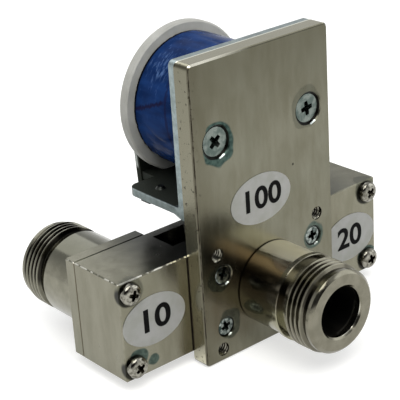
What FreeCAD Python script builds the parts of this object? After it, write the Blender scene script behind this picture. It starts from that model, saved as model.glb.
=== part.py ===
import FreeCAD, Part
import math
import os
import Sketcher

# Coaxial antenna switch: a clapper relay on a nickel-plated connector block.
# Lengths are millimetres. X runs to the right, Y to the back, Z up.
# The origin lies on the front connector's axis, at the front face of the plate.

DIMENSIONS = [
    # Front plate
    ("plate_width", 31.4),
    ("plate_top", 43.8),
    ("plate_bottom", 11.4),
    ("plate_thick", 3.5),
    ("plate_corner", 1.0),
    ("plate_bevel", 0.3),
    ("plate_bore", 6.42),
    ("port_hole_radius", 1.25),
    ("port_hole_across", 11.8),
    ("port_hole_up", 9.1),
    # Signal block
    ("block_half", 30.5),
    ("block_depth", 12.5),
    ("block_up", 9.3),
    ("block_bevel", 0.2),
    ("cavity_half", 24.0),
    ("cavity_front", 6.8),
    ("cavity_rear", 13.8),
    ("cavity_roof", 4.4),
    ("well_half", 14.8),
    ("well_front", 8.4),
    ("well_rear", 14.0),
    ("well_floor", 5.7),
    ("lid_half", 27.0),
    ("lid_front", 5.0),
    ("lid_rear", 15.0),
    ("lid_thick", 1.2),
    ("seat_gap", 0.02),
    # Threaded coaxial jacks
    ("thread_radius", 7.94),
    ("jack_reach", 17.6),
    ("rim_radius", 6.9),
    ("rim_slope", 0.6),
    ("nose_radius", 7.5),
    ("nose_long", 1.2),
    ("thread_long", 5.3),
    ("relief_radius", 7.0),
    ("relief_long", 1.4),
    ("ring_long", 1.1),
    ("barrel_radius", 7.6),
    ("spigot_radius", 6.4),
    ("mouth_radius", 4.6),
    ("mouth_chamfer", 0.35),
    ("mouth_depth", 9.0),
    ("bead_radius", 3.6),
    ("rear_jack_across", 21.6),
    ("rear_barrel_radius", 7.9),
    ("flange_width", 15.4),
    ("flange_thick", 2.6),
    # Centre contacts
    ("contact_radius", 1.5),
    ("contact_recess", 5.5),
    ("contact_bore", 0.85),
    ("contact_bore_deep", 4.5),
    # Contact blades and push rods
    ("blade_wide", 2.4),
    ("blade_thick", 0.3),
    ("blade_over", 1.4),
    ("pusher_across", 8.0),
    ("pusher_back", 11.0),
    ("pusher_radius", 0.9),
    ("pusher_hole", 0.95),
    ("pusher_top", 8.95),
    ("pusher_head_radius", 1.4),
    ("pusher_head_thick", 0.95),
    ("pusher_pin", 0.6),
    ("pusher_foot", 1.0),
    ("pusher_travel", 0.81),
    ("spring_radius", 1.2),
    ("spring_wire", 0.125),
    ("spring_turns", 3),
    # Yoke and coil
    ("yoke_width", 31.2),
    ("yoke_thick", 1.4),
    ("yoke_leg_top", 17.75),
    ("yoke_leg_rear", 19.2),
    ("tongue_half", 9.6),
    ("tongue_rear", 22.5),
    ("yoke_corner", 2.0),
    ("bend_inner", 0.5),
    ("bend_outer", 0.35),
    ("bend_swell", 0.6),
    ("bend_swell_long", 2.8),
    ("pivot_round", 0.3),
    ("coil_height", 30.0),
    ("core_radius", 3.95),
    ("core_shank", 2.5),
    ("tube_radius", 4.0),
    ("tube_wall", 1.0),
    ("coil_front_gap", 0.2),
    ("front_flange_radius", 11.5),
    ("front_flange_thick", 1.2),
    ("rear_flange_radius", 13.8),
    ("rear_flange_front", 20.1),
    ("rear_flange_thick", 2.0),
    ("flange_flat_gap", 0.1),
    ("tape_radius", 12.1),
    ("tape_thick", 0.5),
    ("terminal_across", 12.3),
    ("terminal_spread", 3.0),
    ("terminal_radius", 0.4),
    ("terminal_long", 5.0),
    # Armature, which rocks on the rounded lower edge of the yoke's tongue
    ("rest_angle", 4.3),
    ("armature_half", 9.8),
    ("armature_thick", 1.2),
    ("armature_gap", 0.15),
    ("armature_high", 22.85),
    ("armature_corner", 9.5),
    ("armature_low", 1.45),
    ("arm_half", 4.0),
    ("arm_drop", 2.0),
    ("arm_long", 12.08),
    ("residual_radius", 4.0),
    ("residual_thick", 0.12),
    # Moulded bar that works the push rods
    ("bar_half", 9.4),
    ("bar_under", 8.45),
    ("bar_over", 6.9),
    ("bar_rear", 9.8),
    ("bar_front", 12.6),
    ("socket_half", 4.8),
    ("socket_top", 1.5),
    # Leaf spring and its rivets
    ("leaf_thick", 0.25),
    ("leaf_front", 13.0),
    ("leaf_back", 15.4),
    ("leaf_half", 15.6),
    ("finger_inner", 4.6),
    ("finger_outer", 7.4),
    ("finger_step", 18.0),
    ("finger_low", 14.7),
    ("finger_rear", 23.92),
    ("finger_hook", 16.0),
    ("rivet_across", 12.2),
    ("rivet_back", 14.0),
    ("rivet_radius", 0.6),
    ("rivet_head_radius", 0.95),
    ("rivet_head_thick", 0.5),
    ("rivet_tail_thick", 0.4),
    # Screws
    ("yoke_screw_across", 10.55),
    ("yoke_screw_up", 29.4),
    ("yoke_screw_radius", 1.5),
    ("yoke_screw_head", 2.62),
    ("yoke_screw_seat", 3.1),
    ("yoke_screw_sunk", 0.45),
    ("plate_screw_across", 10.75),
    ("plate_screw_up", 5.0),
    ("plate_screw_radius", 1.0),
    ("plate_screw_head", 1.68),
    ("plate_screw_seat", 1.98),
    ("plate_screw_sunk", 0.28),
    ("plate_screw_long", 6.3),
    ("block_screw_across", 28.3),
    ("block_screw_up", 6.95),
    ("block_screw_radius", 1.0),
    ("pan_radius", 2.0),
    ("pan_side", 0.8),
    ("pan_crown", 0.5),
    ("pan_crown_radius", 1.3),
    ("flange_screw_across", 16.4),
    ("flange_screw_up", 7.3),
    ("flange_screw_radius", 0.65),
    ("flange_screw_head", 0.95),
    ("flange_screw_long", 4.5),
    ("lid_screw_across", 25.5),
    ("lid_screw_front", 6.6),
    ("lid_screw_rear", 13.4),
    ("lid_screw_radius", 0.65),
    ("lid_screw_head", 1.15),
    ("lid_screw_long", 3.2),
    ("bore_clearance", 0.03),
    # Oval labels
    ("label_thick", 0.12),
    ("com_label_across", -1.4),
    ("com_label_up", 16.4),
    ("com_label_major", 6.9),
    ("com_label_minor", 4.5),
    ("no_label_across", -23.7),
    ("no_label_up", 0.4),
    ("nc_label_across", 23.5),
    ("nc_label_up", -0.9),
    ("side_label_major", 6.7),
    ("side_label_minor", 4.6),
]

doc = FreeCAD.newDocument("coaxial_switch")
sheet = doc.addObject("Spreadsheet::Sheet", "Sizes")
for row, (alias, value) in enumerate(DIMENSIONS, 1):
    sheet.set(f"A{row}", alias)
    sheet.set(f"B{row}", str(value))
    sheet.setAlias(f"B{row}", alias)
doc.recompute()


class Size:
    """A length that carries both its value and the sheet expression behind it."""

    def __init__(self, value, text):
        self.value = value
        self.text = text

    @staticmethod
    def of(number):
        return number if isinstance(number, Size) else Size(float(number), f"({float(number)})")

    def __add__(self, other):
        other = Size.of(other)
        return Size(self.value + other.value, f"({self.text} + {other.text})")

    def __sub__(self, other):
        other = Size.of(other)
        return Size(self.value - other.value, f"({self.text} - {other.text})")

    def __mul__(self, other):
        other = Size.of(other)
        return Size(self.value * other.value, f"({self.text} * {other.text})")

    def __neg__(self):
        return Size(0.0, "0") - self

    def __radd__(self, other):
        return Size.of(other) + self

    def __rsub__(self, other):
        return Size.of(other) - self

    __rmul__ = __mul__


class SheetSizes:
    """Looks a size up in the sheet by its alias."""

    def __getattr__(self, alias):
        return Size(float(sheet.get(alias)), f"Sizes.{alias}")


mm = SheetSizes()
ZERO = Size.of(0)
SIDES = (-1, 1)

block_front = mm.plate_thick
block_rear = mm.plate_thick + mm.block_depth
flange_rear = block_rear + mm.flange_thick
yoke_back = mm.plate_thick + mm.yoke_thick
yoke_leg_under = mm.yoke_leg_top - mm.yoke_thick
rear_flange_back = mm.rear_flange_front + mm.rear_flange_thick
pivot_y = mm.tongue_rear - mm.pivot_round
pivot_z = yoke_leg_under + mm.pivot_round
armature_face = mm.pivot_round + mm.armature_gap
ALONG_Y = FreeCAD.Rotation(FreeCAD.Vector(1, 0, 0), -90)
AGAINST_Y = FreeCAD.Rotation(FreeCAD.Vector(1, 0, 0), 90)


def bind(thing, prop, size):
    thing.setExpression(prop, Size.of(size).text)


def place(thing, x=ZERO, y=ZERO, z=ZERO, rotation=None):
    if rotation:
        thing.Placement = FreeCAD.Placement(FreeCAD.Vector(), rotation)
    for axis, size in zip("xyz", (x, y, z)):
        bind(thing, f"Placement.Base.{axis}", size)
    return thing


def new_body(label):
    body = doc.addObject("PartDesign::Body", label)
    body.Label = label
    return body


def new_sketch(body, plane, level=ZERO, axis_height=None):
    """A sketch on an origin plane, moved along the plane's normal by level."""
    sketch = body.newObject("Sketcher::SketchObject", "Sketch")
    support = next(f for f in body.Origin.OriginFeatures if f.Role == plane)
    sketch.AttachmentSupport = (support, [""])
    sketch.MapMode = "FlatFace"
    bind(sketch, "AttachmentOffset.Base.z", level)
    if axis_height is not None:
        bind(sketch, "AttachmentOffset.Base.y", axis_height)
    return sketch


def add_polygon(sketch, points):
    """A closed outline with every corner tied to the sheet."""
    corners = [(Size.of(across), Size.of(up)) for across, up in points]
    spots = [FreeCAD.Vector(across.value, up.value, 0) for across, up in corners]
    lines = [
        sketch.addGeometry(Part.LineSegment(spot, spots[(i + 1) % len(spots)]), False)
        for i, spot in enumerate(spots)
    ]
    for i, line in enumerate(lines):
        following = lines[(i + 1) % len(lines)]
        sketch.addConstraint(Sketcher.Constraint("Coincident", line, 2, following, 1))
    for line, (across, up) in zip(lines, corners):
        for kind, size in (("DistanceX", across), ("DistanceY", up)):
            index = sketch.addConstraint(Sketcher.Constraint(kind, line, 1, size.value))
            bind(sketch, f"Constraints[{index}]", size)


def add_rectangle(sketch, left, right, low, high):
    add_polygon(sketch, [(left, low), (right, low), (right, high), (left, high)])


def add_circle(sketch, across, up, radius):
    across, up, radius = Size.of(across), Size.of(up), Size.of(radius)
    centre = FreeCAD.Vector(across.value, up.value, 0)
    ring = sketch.addGeometry(Part.Circle(centre, FreeCAD.Vector(0, 0, 1), radius.value), False)
    for kind, size in (("DistanceX", across), ("DistanceY", up)):
        index = sketch.addConstraint(Sketcher.Constraint(kind, ring, 3, size.value))
        bind(sketch, f"Constraints[{index}]", size)
    index = sketch.addConstraint(Sketcher.Constraint("Radius", ring, radius.value))
    bind(sketch, f"Constraints[{index}]", radius)


def volume_of(body):
    doc.recompute()
    return body.Shape.Volume if body.Tip else 0.0


def pad(body, sketch, length, reverse=False, midplane=False):
    feature = body.newObject("PartDesign::Pad", "Pad")
    feature.Profile = (sketch, [""])
    bind(feature, "Length", length)
    feature.Reversed = reverse
    feature.Midplane = midplane
    doc.recompute()
    return feature


def pocket(body, sketch, length, reverse=False):
    before = volume_of(body)
    feature = body.newObject("PartDesign::Pocket", "Pocket")
    feature.Profile = (sketch, [""])
    bind(feature, "Length", length)
    feature.Reversed = reverse
    if not volume_of(body) < before - 1e-6:
        raise RuntimeError(f"a pocket of {body.Label} cuts nothing")
    return feature


def revolve(body, points, axis_x=ZERO, axis_z=ZERO, cut=False):
    """Turns an outline of (along Y, radius) points about an axis that runs along Y."""
    before = volume_of(body)
    sketch = new_sketch(body, "YZ_Plane", axis_x, axis_z)
    add_polygon(sketch, points)
    kind = "Groove" if cut else "Revolution"
    feature = body.newObject(f"PartDesign::{kind}", kind)
    feature.Profile = (sketch, [""])
    feature.ReferenceAxis = (sketch, ["H_Axis"])
    feature.Angle = 360
    if cut and not volume_of(body) < before - 1e-6:
        raise RuntimeError(f"a groove of {body.Label} cuts nothing")
    doc.recompute()
    return feature


def edges_where(feature, test):
    return [f"Edge{i}" for i, edge in enumerate(feature.Shape.Edges, 1) if test(edge)]


def dress(body, kind, feature, test, size):
    """Adds a Fillet or a Chamfer to the edges that pass the test."""
    doc.recompute()
    edges = edges_where(feature, test)
    if not edges:
        raise RuntimeError(f"no edges to dress on {body.Label}")
    dressed = body.newObject(f"PartDesign::{kind}", kind)
    dressed.Base = (feature, edges)
    bind(dressed, "Radius" if kind == "Fillet" else "Size", size)
    doc.recompute()
    return dressed


def runs_along(edge, axis):
    if edge.Curve.TypeId != "Part::GeomLine":
        return False
    start, end = (vertex.Point for vertex in (edge.Vertexes[0], edge.Vertexes[-1]))
    return abs((end - start).normalize().dot(axis)) > 0.999


def near(first, second):
    return abs(first - second) < 1e-4


def lies_at_y(edge, level):
    return all(near(vertex.Y, level) for vertex in edge.Vertexes)


def rim_of_hole(edge, level, radius):
    round_edge = edge.Curve.TypeId == "Part::GeomCircle"
    return round_edge and near(edge.Curve.Radius, radius) and lies_at_y(edge, level)


def cylinder(name, radius, length, x, y, z, rotation):
    rod = doc.addObject("Part::Cylinder", name)
    bind(rod, "Radius", radius)
    bind(rod, "Height", length)
    return place(rod, x, y, z, rotation)


def cone(name, first, second, length, x, y, z, rotation):
    taper = doc.addObject("Part::Cone", name)
    bind(taper, "Radius1", first)
    bind(taper, "Radius2", second)
    bind(taper, "Height", length)
    return place(taper, x, y, z, rotation)


def fuse(name, pieces):
    joined = doc.addObject("Part::MultiFuse", name)
    joined.Shapes = pieces
    return joined


def group(label, solids):
    together = doc.addObject("Part::Compound", label)
    together.Label = label
    together.Links = solids
    return together


def make_front_plate():
    body = new_body("front_plate")
    outline = new_sketch(body, "XZ_Plane")
    half = mm.plate_width * 0.5
    add_rectangle(outline, -half, half, -mm.plate_bottom, mm.plate_top)
    slab = pad(body, outline, mm.plate_thick, reverse=True)
    across = FreeCAD.Vector(0, 1, 0)
    rounded = dress(body, "Fillet", slab, lambda e: runs_along(e, across), mm.plate_corner)
    dress(body, "Chamfer", rounded, lambda e: lies_at_y(e, 0), mm.plate_bevel)
    holes = new_sketch(body, "XZ_Plane")
    add_circle(holes, 0, 0, mm.plate_bore)
    for side in SIDES:
        add_circle(holes, side * mm.yoke_screw_across, mm.yoke_screw_up, mm.yoke_screw_radius + 0.1)
        for level in SIDES:
            add_circle(holes, side * mm.port_hole_across, level * mm.port_hole_up, mm.port_hole_radius)
            add_circle(
                holes,
                side * mm.plate_screw_across,
                level * mm.plate_screw_up,
                mm.plate_screw_radius + 0.05,
            )
    drilled = pocket(body, holes, mm.plate_thick)
    yoke_seat = dress(
        body,
        "Chamfer",
        drilled,
        lambda e: rim_of_hole(e, 0, mm.yoke_screw_radius.value + 0.1),
        mm.yoke_screw_seat - mm.yoke_screw_radius - 0.1,
    )
    dress(
        body,
        "Chamfer",
        yoke_seat,
        lambda e: rim_of_hole(e, 0, mm.plate_screw_radius.value + 0.05),
        mm.plate_screw_seat - mm.plate_screw_radius - 0.05,
    )
    return body


def make_rf_body():
    body = new_body("rf_body")
    outline = new_sketch(body, "XZ_Plane", -block_front)
    add_rectangle(outline, -mm.block_half, mm.block_half, -mm.block_up, mm.block_up)
    block = pad(body, outline, mm.block_depth, reverse=True)
    dress(body, "Chamfer", block, lambda e: True, mm.block_bevel)

    cavity = new_sketch(body, "XY_Plane", -mm.block_up)
    add_rectangle(cavity, -mm.cavity_half, mm.cavity_half, mm.cavity_front, mm.cavity_rear)
    pocket(body, cavity, mm.block_up + mm.cavity_roof, reverse=True)
    ledge = new_sketch(body, "XY_Plane", -mm.block_up)
    add_rectangle(ledge, -mm.lid_half, mm.lid_half, mm.lid_front, mm.lid_rear)
    pocket(body, ledge, mm.lid_thick, reverse=True)
    lid_holes = new_sketch(body, "XY_Plane", -mm.block_up)
    for side in SIDES:
        for back in (mm.lid_screw_front, mm.lid_screw_rear):
            add_circle(lid_holes, side * mm.lid_screw_across, back, mm.lid_screw_radius + mm.bore_clearance)
    pocket(body, lid_holes, mm.lid_screw_long + 0.2, reverse=True)

    well = new_sketch(body, "XY_Plane", mm.block_up)
    add_rectangle(well, -mm.well_half, mm.well_half, mm.well_front, mm.well_rear)
    pocket(body, well, mm.block_up - mm.well_floor)
    guides = new_sketch(body, "XY_Plane", mm.well_floor)
    for side in SIDES:
        add_circle(guides, side * mm.pusher_across, mm.pusher_back, mm.pusher_hole)
    pocket(body, guides, mm.well_floor - mm.cavity_roof)

    front_bore = new_sketch(body, "XZ_Plane", -block_front)
    add_circle(front_bore, 0, 0, mm.bead_radius)
    pocket(body, front_bore, mm.cavity_front - block_front)
    rear_bores = new_sketch(body, "XZ_Plane", -block_rear)
    for side in SIDES:
        add_circle(rear_bores, side * mm.rear_jack_across, 0, mm.bead_radius)
    pocket(body, rear_bores, block_rear - mm.cavity_rear, reverse=True)

    through = new_sketch(body, "XZ_Plane", -block_front)
    blind = new_sketch(body, "XZ_Plane", -block_front)
    notches = new_sketch(body, "XZ_Plane", -block_front)
    rear_blind = new_sketch(body, "XZ_Plane", -block_rear)
    for side in SIDES:
        for level in SIDES:
            add_circle(
                through,
                side * mm.block_screw_across,
                level * mm.block_screw_up,
                mm.block_screw_radius + mm.bore_clearance,
            )
            add_circle(
                rear_blind,
                side * mm.flange_screw_across,
                level * mm.flange_screw_up,
                mm.flange_screw_radius + mm.bore_clearance,
            )
            add_circle(
                blind,
                side * mm.plate_screw_across,
                level * mm.plate_screw_up,
                mm.plate_screw_radius + mm.bore_clearance,
            )
            add_circle(
                notches, side * mm.port_hole_across, level * mm.port_hole_up, mm.port_hole_radius + 0.45
            )
    pocket(body, through, mm.block_depth)
    pocket(body, blind, mm.plate_screw_long - block_front + 0.1)
    pocket(body, notches, mm.lid_front - block_front)
    pocket(body, rear_blind, mm.flange_screw_long - mm.flange_thick + 0.1, reverse=True)
    return body


def make_bottom_cover():
    body = new_body("bottom_cover")
    outline = new_sketch(body, "XY_Plane", -mm.block_up)
    gap = mm.bore_clearance
    add_rectangle(
        outline, -mm.lid_half + gap, mm.lid_half - gap, mm.lid_front + gap, mm.lid_rear - gap
    )
    lid = pad(body, outline, mm.lid_thick)
    holes = new_sketch(body, "XY_Plane", -mm.block_up)
    for side in SIDES:
        for back in (mm.lid_screw_front, mm.lid_screw_rear):
            add_circle(holes, side * mm.lid_screw_across, back, mm.lid_screw_radius + 0.05)
    drilled = pocket(body, holes, mm.lid_thick, reverse=True)
    low = -mm.block_up.value

    def hole_rim(edge):
        return edge.Curve.TypeId == "Part::GeomCircle" and near(edge.Vertexes[0].Z, low)

    dress(body, "Chamfer", drilled, hole_rim, mm.lid_screw_head - mm.lid_screw_radius)
    return body


def jack_outline(root, way, barrel, ring):
    """Barrel, relief, threaded stretch and nose, from the root out to the rim."""
    rim = root + way * mm.jack_reach
    nose = rim - way * mm.nose_long
    thread = nose - way * mm.thread_long
    relief = thread - way * mm.relief_long
    outline = []
    if ring:
        step = relief - way * mm.ring_long
        outline += [(step, barrel), (step, mm.thread_radius), (relief, mm.thread_radius)]
    else:
        outline += [(relief, barrel)]
    return outline + [
        (relief, mm.relief_radius),
        (thread, mm.relief_radius),
        (thread, mm.thread_radius),
        (nose, mm.thread_radius),
        (nose, mm.nose_radius),
        (rim - way * mm.rim_slope, mm.nose_radius),
        (rim, mm.rim_radius),
    ]


def mouth_outline(rim, way):
    """The bore's wide mouth, from its floor to the chamfer at the rim."""
    return [
        (rim - way * mm.mouth_depth, mm.mouth_radius),
        (rim - way * mm.mouth_chamfer, mm.mouth_radius),
        (rim, mm.mouth_radius + mm.mouth_chamfer),
    ]


def make_com_jack():
    body = new_body("com_jack")
    rim = -mm.jack_reach
    outer = jack_outline(ZERO, -1, mm.barrel_radius, ring=True)
    outline = [
        (block_front, mm.bead_radius),
        (block_front, mm.spigot_radius),
        (ZERO, mm.spigot_radius),
        (ZERO, mm.barrel_radius),
        *outer,
        *reversed(mouth_outline(rim, -1)),
        (rim + mm.mouth_depth, mm.bead_radius),
    ]
    revolve(body, outline)
    return body


def make_rear_jack(label, side):
    body = new_body(label)
    outer_edge = mm.block_half
    inner_edge = mm.block_half - mm.flange_width
    left, right = (-outer_edge, -inner_edge) if side < 0 else (inner_edge, outer_edge)
    outline = new_sketch(body, "XZ_Plane", -block_rear)
    add_rectangle(outline, left, right, -mm.block_up, mm.block_up)
    flange = pad(body, outline, mm.flange_thick, reverse=True)
    dress(body, "Chamfer", flange, lambda e: True, mm.block_bevel)
    axis_x = side * mm.rear_jack_across
    rim = flange_rear + mm.jack_reach
    barrel_start = flange_rear - 1
    barrel = [
        (barrel_start, mm.bead_radius),
        (barrel_start, mm.rear_barrel_radius),
        *jack_outline(flange_rear, 1, mm.rear_barrel_radius, ring=False),
        (rim, mm.bead_radius),
    ]
    revolve(body, barrel, axis_x)
    bore = [
        (block_rear, ZERO),
        (block_rear, mm.bead_radius),
        (rim - mm.mouth_depth, mm.bead_radius),
        *mouth_outline(rim, 1),
        (rim, ZERO),
    ]
    revolve(body, bore, axis_x, cut=True)
    holes = new_sketch(body, "XZ_Plane", -block_rear)
    through = mm.flange_screw_radius + 0.05
    for level in SIDES:
        add_circle(
            holes,
            side * mm.block_screw_across,
            level * mm.block_screw_up,
            mm.block_screw_radius + mm.bore_clearance,
        )
        add_circle(holes, side * mm.flange_screw_across, level * mm.flange_screw_up, through)
    drilled = pocket(body, holes, mm.flange_thick)
    dress(
        body,
        "Chamfer",
        drilled,
        lambda e: rim_of_hole(e, flange_rear.value, through.value),
        mm.flange_screw_head - mm.flange_screw_radius,
    )
    return body


def make_insulator(label, start, end, axis_x=ZERO):
    """A white bead that fills the narrow bore and carries the centre contact."""
    body = new_body(label)
    inner = mm.contact_radius + mm.seat_gap
    outer = mm.bead_radius - mm.seat_gap
    revolve(body, [(start, inner), (start, outer), (end, outer), (end, inner)], axis_x)
    return body


def make_contact(label, post_end, tip, way, axis_x=ZERO):
    """A centre contact: a post in the signal cavity, a bored socket at the jack's mouth."""
    body = new_body(label)
    socket_floor = tip - way * mm.contact_bore_deep
    outline = [
        (post_end, ZERO),
        (post_end, mm.contact_radius),
        (tip - way * 0.3, mm.contact_radius),
        (tip, mm.contact_radius - 0.3),
        (tip, mm.contact_bore),
        (socket_floor, mm.contact_bore),
        (socket_floor, ZERO),
    ]
    revolve(body, outline, axis_x)
    slot = new_sketch(body, "YZ_Plane", axis_x - mm.contact_radius)
    half = mm.contact_bore * 0.22
    low, high = (tip - 3, tip + 0.1) if way > 0 else (tip - 0.1, tip + 3)
    add_rectangle(slot, low, high, -half, half)
    pocket(body, slot, mm.contact_radius * 2, reverse=True)
    return body


def make_blade(label, side, under):
    """A springy strip that bridges the front contact and one rear contact."""
    body = new_body(label)
    outline = new_sketch(body, "XY_Plane", under)
    far = side * (mm.rear_jack_across + mm.blade_over)
    close = -side * mm.blade_over
    left, right = (far, close) if side < 0 else (close, far)
    half = mm.blade_wide * 0.5
    add_rectangle(outline, left, right, mm.pusher_back - half, mm.pusher_back + half)
    strip = pad(body, outline, mm.blade_thick)
    upright = FreeCAD.Vector(0, 0, 1)
    dress(body, "Fillet", strip, lambda e: runs_along(e, upright), mm.blade_wide * 0.35)
    hole = new_sketch(body, "XY_Plane", under)
    radius = mm.pusher_pin + mm.seat_gap
    add_circle(hole, side * mm.pusher_across, mm.pusher_back, radius)
    pocket(body, hole, mm.blade_thick, reverse=True)
    return body


def make_pusher(label, side, blade_under):
    """An insulating rod: head in the well, guide through the roof, foot under its blade."""
    body = new_body(label)
    sketch = new_sketch(body, "XZ_Plane", -mm.pusher_back)
    bind(sketch, "AttachmentOffset.Base.x", side * mm.pusher_across)
    head_under = mm.pusher_top - mm.pusher_head_thick
    blade_over = blade_under + mm.blade_thick + mm.seat_gap
    foot_over = blade_under - mm.seat_gap
    foot_under = foot_over - 0.3
    add_polygon(
        sketch,
        [
            (ZERO, foot_under),
            (mm.pusher_foot, foot_under),
            (mm.pusher_foot, foot_over),
            (mm.pusher_pin, foot_over),
            (mm.pusher_pin, blade_over),
            (mm.pusher_radius, blade_over),
            (mm.pusher_radius, head_under),
            (mm.pusher_head_radius, head_under),
            (mm.pusher_head_radius, mm.pusher_top - 0.45),
            (mm.pusher_head_radius - 0.35, mm.pusher_top - 0.15),
            (mm.pusher_head_radius - 0.9, mm.pusher_top),
            (ZERO, mm.pusher_top),
        ],
    )
    turned = body.newObject("PartDesign::Revolution", "Revolution")
    turned.Profile = (sketch, [""])
    turned.ReferenceAxis = (sketch, ["V_Axis"])
    turned.Angle = 360
    return body


def helix_state(quarter, bottom, pitch):
    """Where a spring's wire is, and which way it runs, after so many quarter turns."""
    angle = quarter * math.pi / 2
    radius = mm.spring_radius.value
    spot = FreeCAD.Vector(radius * math.cos(angle), radius * math.sin(angle), 0)
    spot.z = bottom + pitch * quarter / 4
    way = FreeCAD.Vector(-math.sin(angle), math.cos(angle), pitch / (2 * math.pi * radius))
    return spot, way.normalize()


def arc_from(start, way, end):
    """The arc that leaves start along way and reaches end."""
    chord = end - start
    reach = chord.Length
    half_turn = way.getAngle(chord) / 2
    middle_way = (way + chord / reach).normalize()
    middle = start + middle_way * (reach / (2 * math.cos(half_turn)))
    return Part.Arc(start, middle, end).toShape()


def biarc(start, start_way, end, end_way):
    """Two arcs that meet tangentially between two spots with given directions."""
    gap = end - start
    both = start_way + end_way
    turn = 2 * (1 - start_way.dot(end_way))
    along = gap.dot(both)
    handle = (math.sqrt(along * along + turn * gap.dot(gap)) - along) / turn
    joint = (start + end + (start_way - end_way) * handle) * 0.5
    joint_way = (end - end_way * handle) - (start + start_way * handle)
    joint_way.normalize()
    return [arc_from(start, start_way, joint), arc_from(joint, joint_way, end)]


def make_return_spring(label, side):
    """A wound spring round the push rod, between the well's floor and the rod's head."""
    wire = mm.spring_wire.value
    turns = int(mm.spring_turns.value)
    bottom = mm.well_floor.value + wire + 0.01
    top = (mm.pusher_top - mm.pusher_head_thick).value - wire - 0.01
    pitch = (top - bottom) / turns
    states = [helix_state(quarter, bottom, pitch) for quarter in range(4 * turns + 1)]
    arcs = []
    for (start, start_way), (end, end_way) in zip(states, states[1:]):
        arcs += biarc(start, start_way, end, end_way)
    path = Part.Wire(arcs)
    first, first_way = states[0]
    section = Part.Wire([Part.Circle(first, first_way, wire).toShape()])
    shell = Part.BRepOffsetAPI.MakePipeShell(path)
    shell.add(section)
    shell.build()
    shell.makeSolid()
    spring = doc.addObject("Part::Feature", label)
    spring.Label = label
    spring.Shape = shell.shape()
    place(spring, side * mm.pusher_across, mm.pusher_back)
    gaps = [
        first.distanceToPoint(second) - 2 * wire
        for i, (first, _) in enumerate(states)
        for second, _ in states[i + 3 :]
    ]
    print(f"{label}: least gap between curls {min(gaps):.2f} mm")
    return spring


def make_yoke():
    body = new_body("yoke")
    side_view = new_sketch(body, "YZ_Plane")
    add_polygon(
        side_view,
        [
            (block_front, yoke_leg_under - mm.bend_swell),
            (yoke_back - 0.4, yoke_leg_under - mm.bend_swell),
            (block_front + mm.bend_swell_long, yoke_leg_under),
            (mm.tongue_rear, yoke_leg_under),
            (mm.tongue_rear, mm.yoke_leg_top),
            (yoke_back, mm.yoke_leg_top),
            (yoke_back, mm.plate_top),
            (block_front, mm.plate_top),
        ],
    )
    bent = pad(body, side_view, mm.yoke_width, midplane=True)

    def inner_bend(edge):
        spot = edge.Vertexes[0].Point
        along_x = runs_along(edge, FreeCAD.Vector(1, 0, 0))
        return along_x and near(spot.y, yoke_back.value) and near(spot.z, mm.yoke_leg_top.value)

    def outer_bend(edge):
        spot = edge.Vertexes[0].Point
        along_x = runs_along(edge, FreeCAD.Vector(1, 0, 0))
        low = (yoke_leg_under - mm.bend_swell).value
        return along_x and near(spot.y, block_front.value) and near(spot.z, low)

    def knife_edge(edge):
        spot = edge.Vertexes[0].Point
        along_x = runs_along(edge, FreeCAD.Vector(1, 0, 0))
        return along_x and near(spot.y, mm.tongue_rear.value) and near(spot.z, yoke_leg_under.value)

    inner = dress(body, "Fillet", bent, inner_bend, mm.bend_inner)
    outer = dress(body, "Fillet", inner, outer_bend, mm.bend_outer)
    edged = dress(body, "Fillet", outer, knife_edge, mm.pivot_round)
    half = mm.yoke_width.value * 0.5

    def top_corner(edge):
        spot = edge.CenterOfMass
        return (
            runs_along(edge, FreeCAD.Vector(0, 1, 0))
            and near(abs(spot.x), half)
            and near(spot.z, mm.plate_top.value)
        )

    dress(body, "Fillet", edged, top_corner, mm.plate_corner)
    trims = new_sketch(body, "XY_Plane", mm.yoke_leg_top)
    edge_x = mm.yoke_width * 0.5 + 1
    rear = mm.tongue_rear + 1
    add_rectangle(trims, mm.tongue_half, edge_x, mm.yoke_leg_rear, rear)
    add_rectangle(trims, -edge_x, -mm.tongue_half, mm.yoke_leg_rear, rear)
    for side in SIDES:
        add_circle(trims, side * mm.rivet_across, mm.rivet_back, mm.rivet_radius + mm.seat_gap)
    cut = pocket(body, trims, mm.yoke_thick)

    def rear_corner(edge):
        spot = edge.CenterOfMass
        upright = runs_along(edge, FreeCAD.Vector(0, 0, 1))
        return upright and near(abs(spot.x), half) and near(spot.y, mm.yoke_leg_rear.value)

    dress(body, "Fillet", cut, rear_corner, mm.yoke_corner)
    holes = new_sketch(body, "XZ_Plane", -block_front)
    add_circle(holes, 0, mm.coil_height, mm.core_shank + mm.seat_gap)
    for side in SIDES:
        add_circle(
            holes,
            side * mm.yoke_screw_across,
            mm.yoke_screw_up,
            mm.yoke_screw_radius + mm.bore_clearance,
        )
    pocket(body, holes, mm.yoke_thick)
    return body


def make_core():
    body = new_body("core")
    outline = [
        (block_front, ZERO),
        (block_front, mm.core_shank),
        (yoke_back, mm.core_shank),
        (yoke_back, mm.core_radius),
        (mm.tongue_rear - 0.3, mm.core_radius),
        (mm.tongue_rear, mm.core_radius - 0.3),
        (mm.tongue_rear, ZERO),
    ]
    revolve(body, outline, axis_z=mm.coil_height)
    return body


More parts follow.
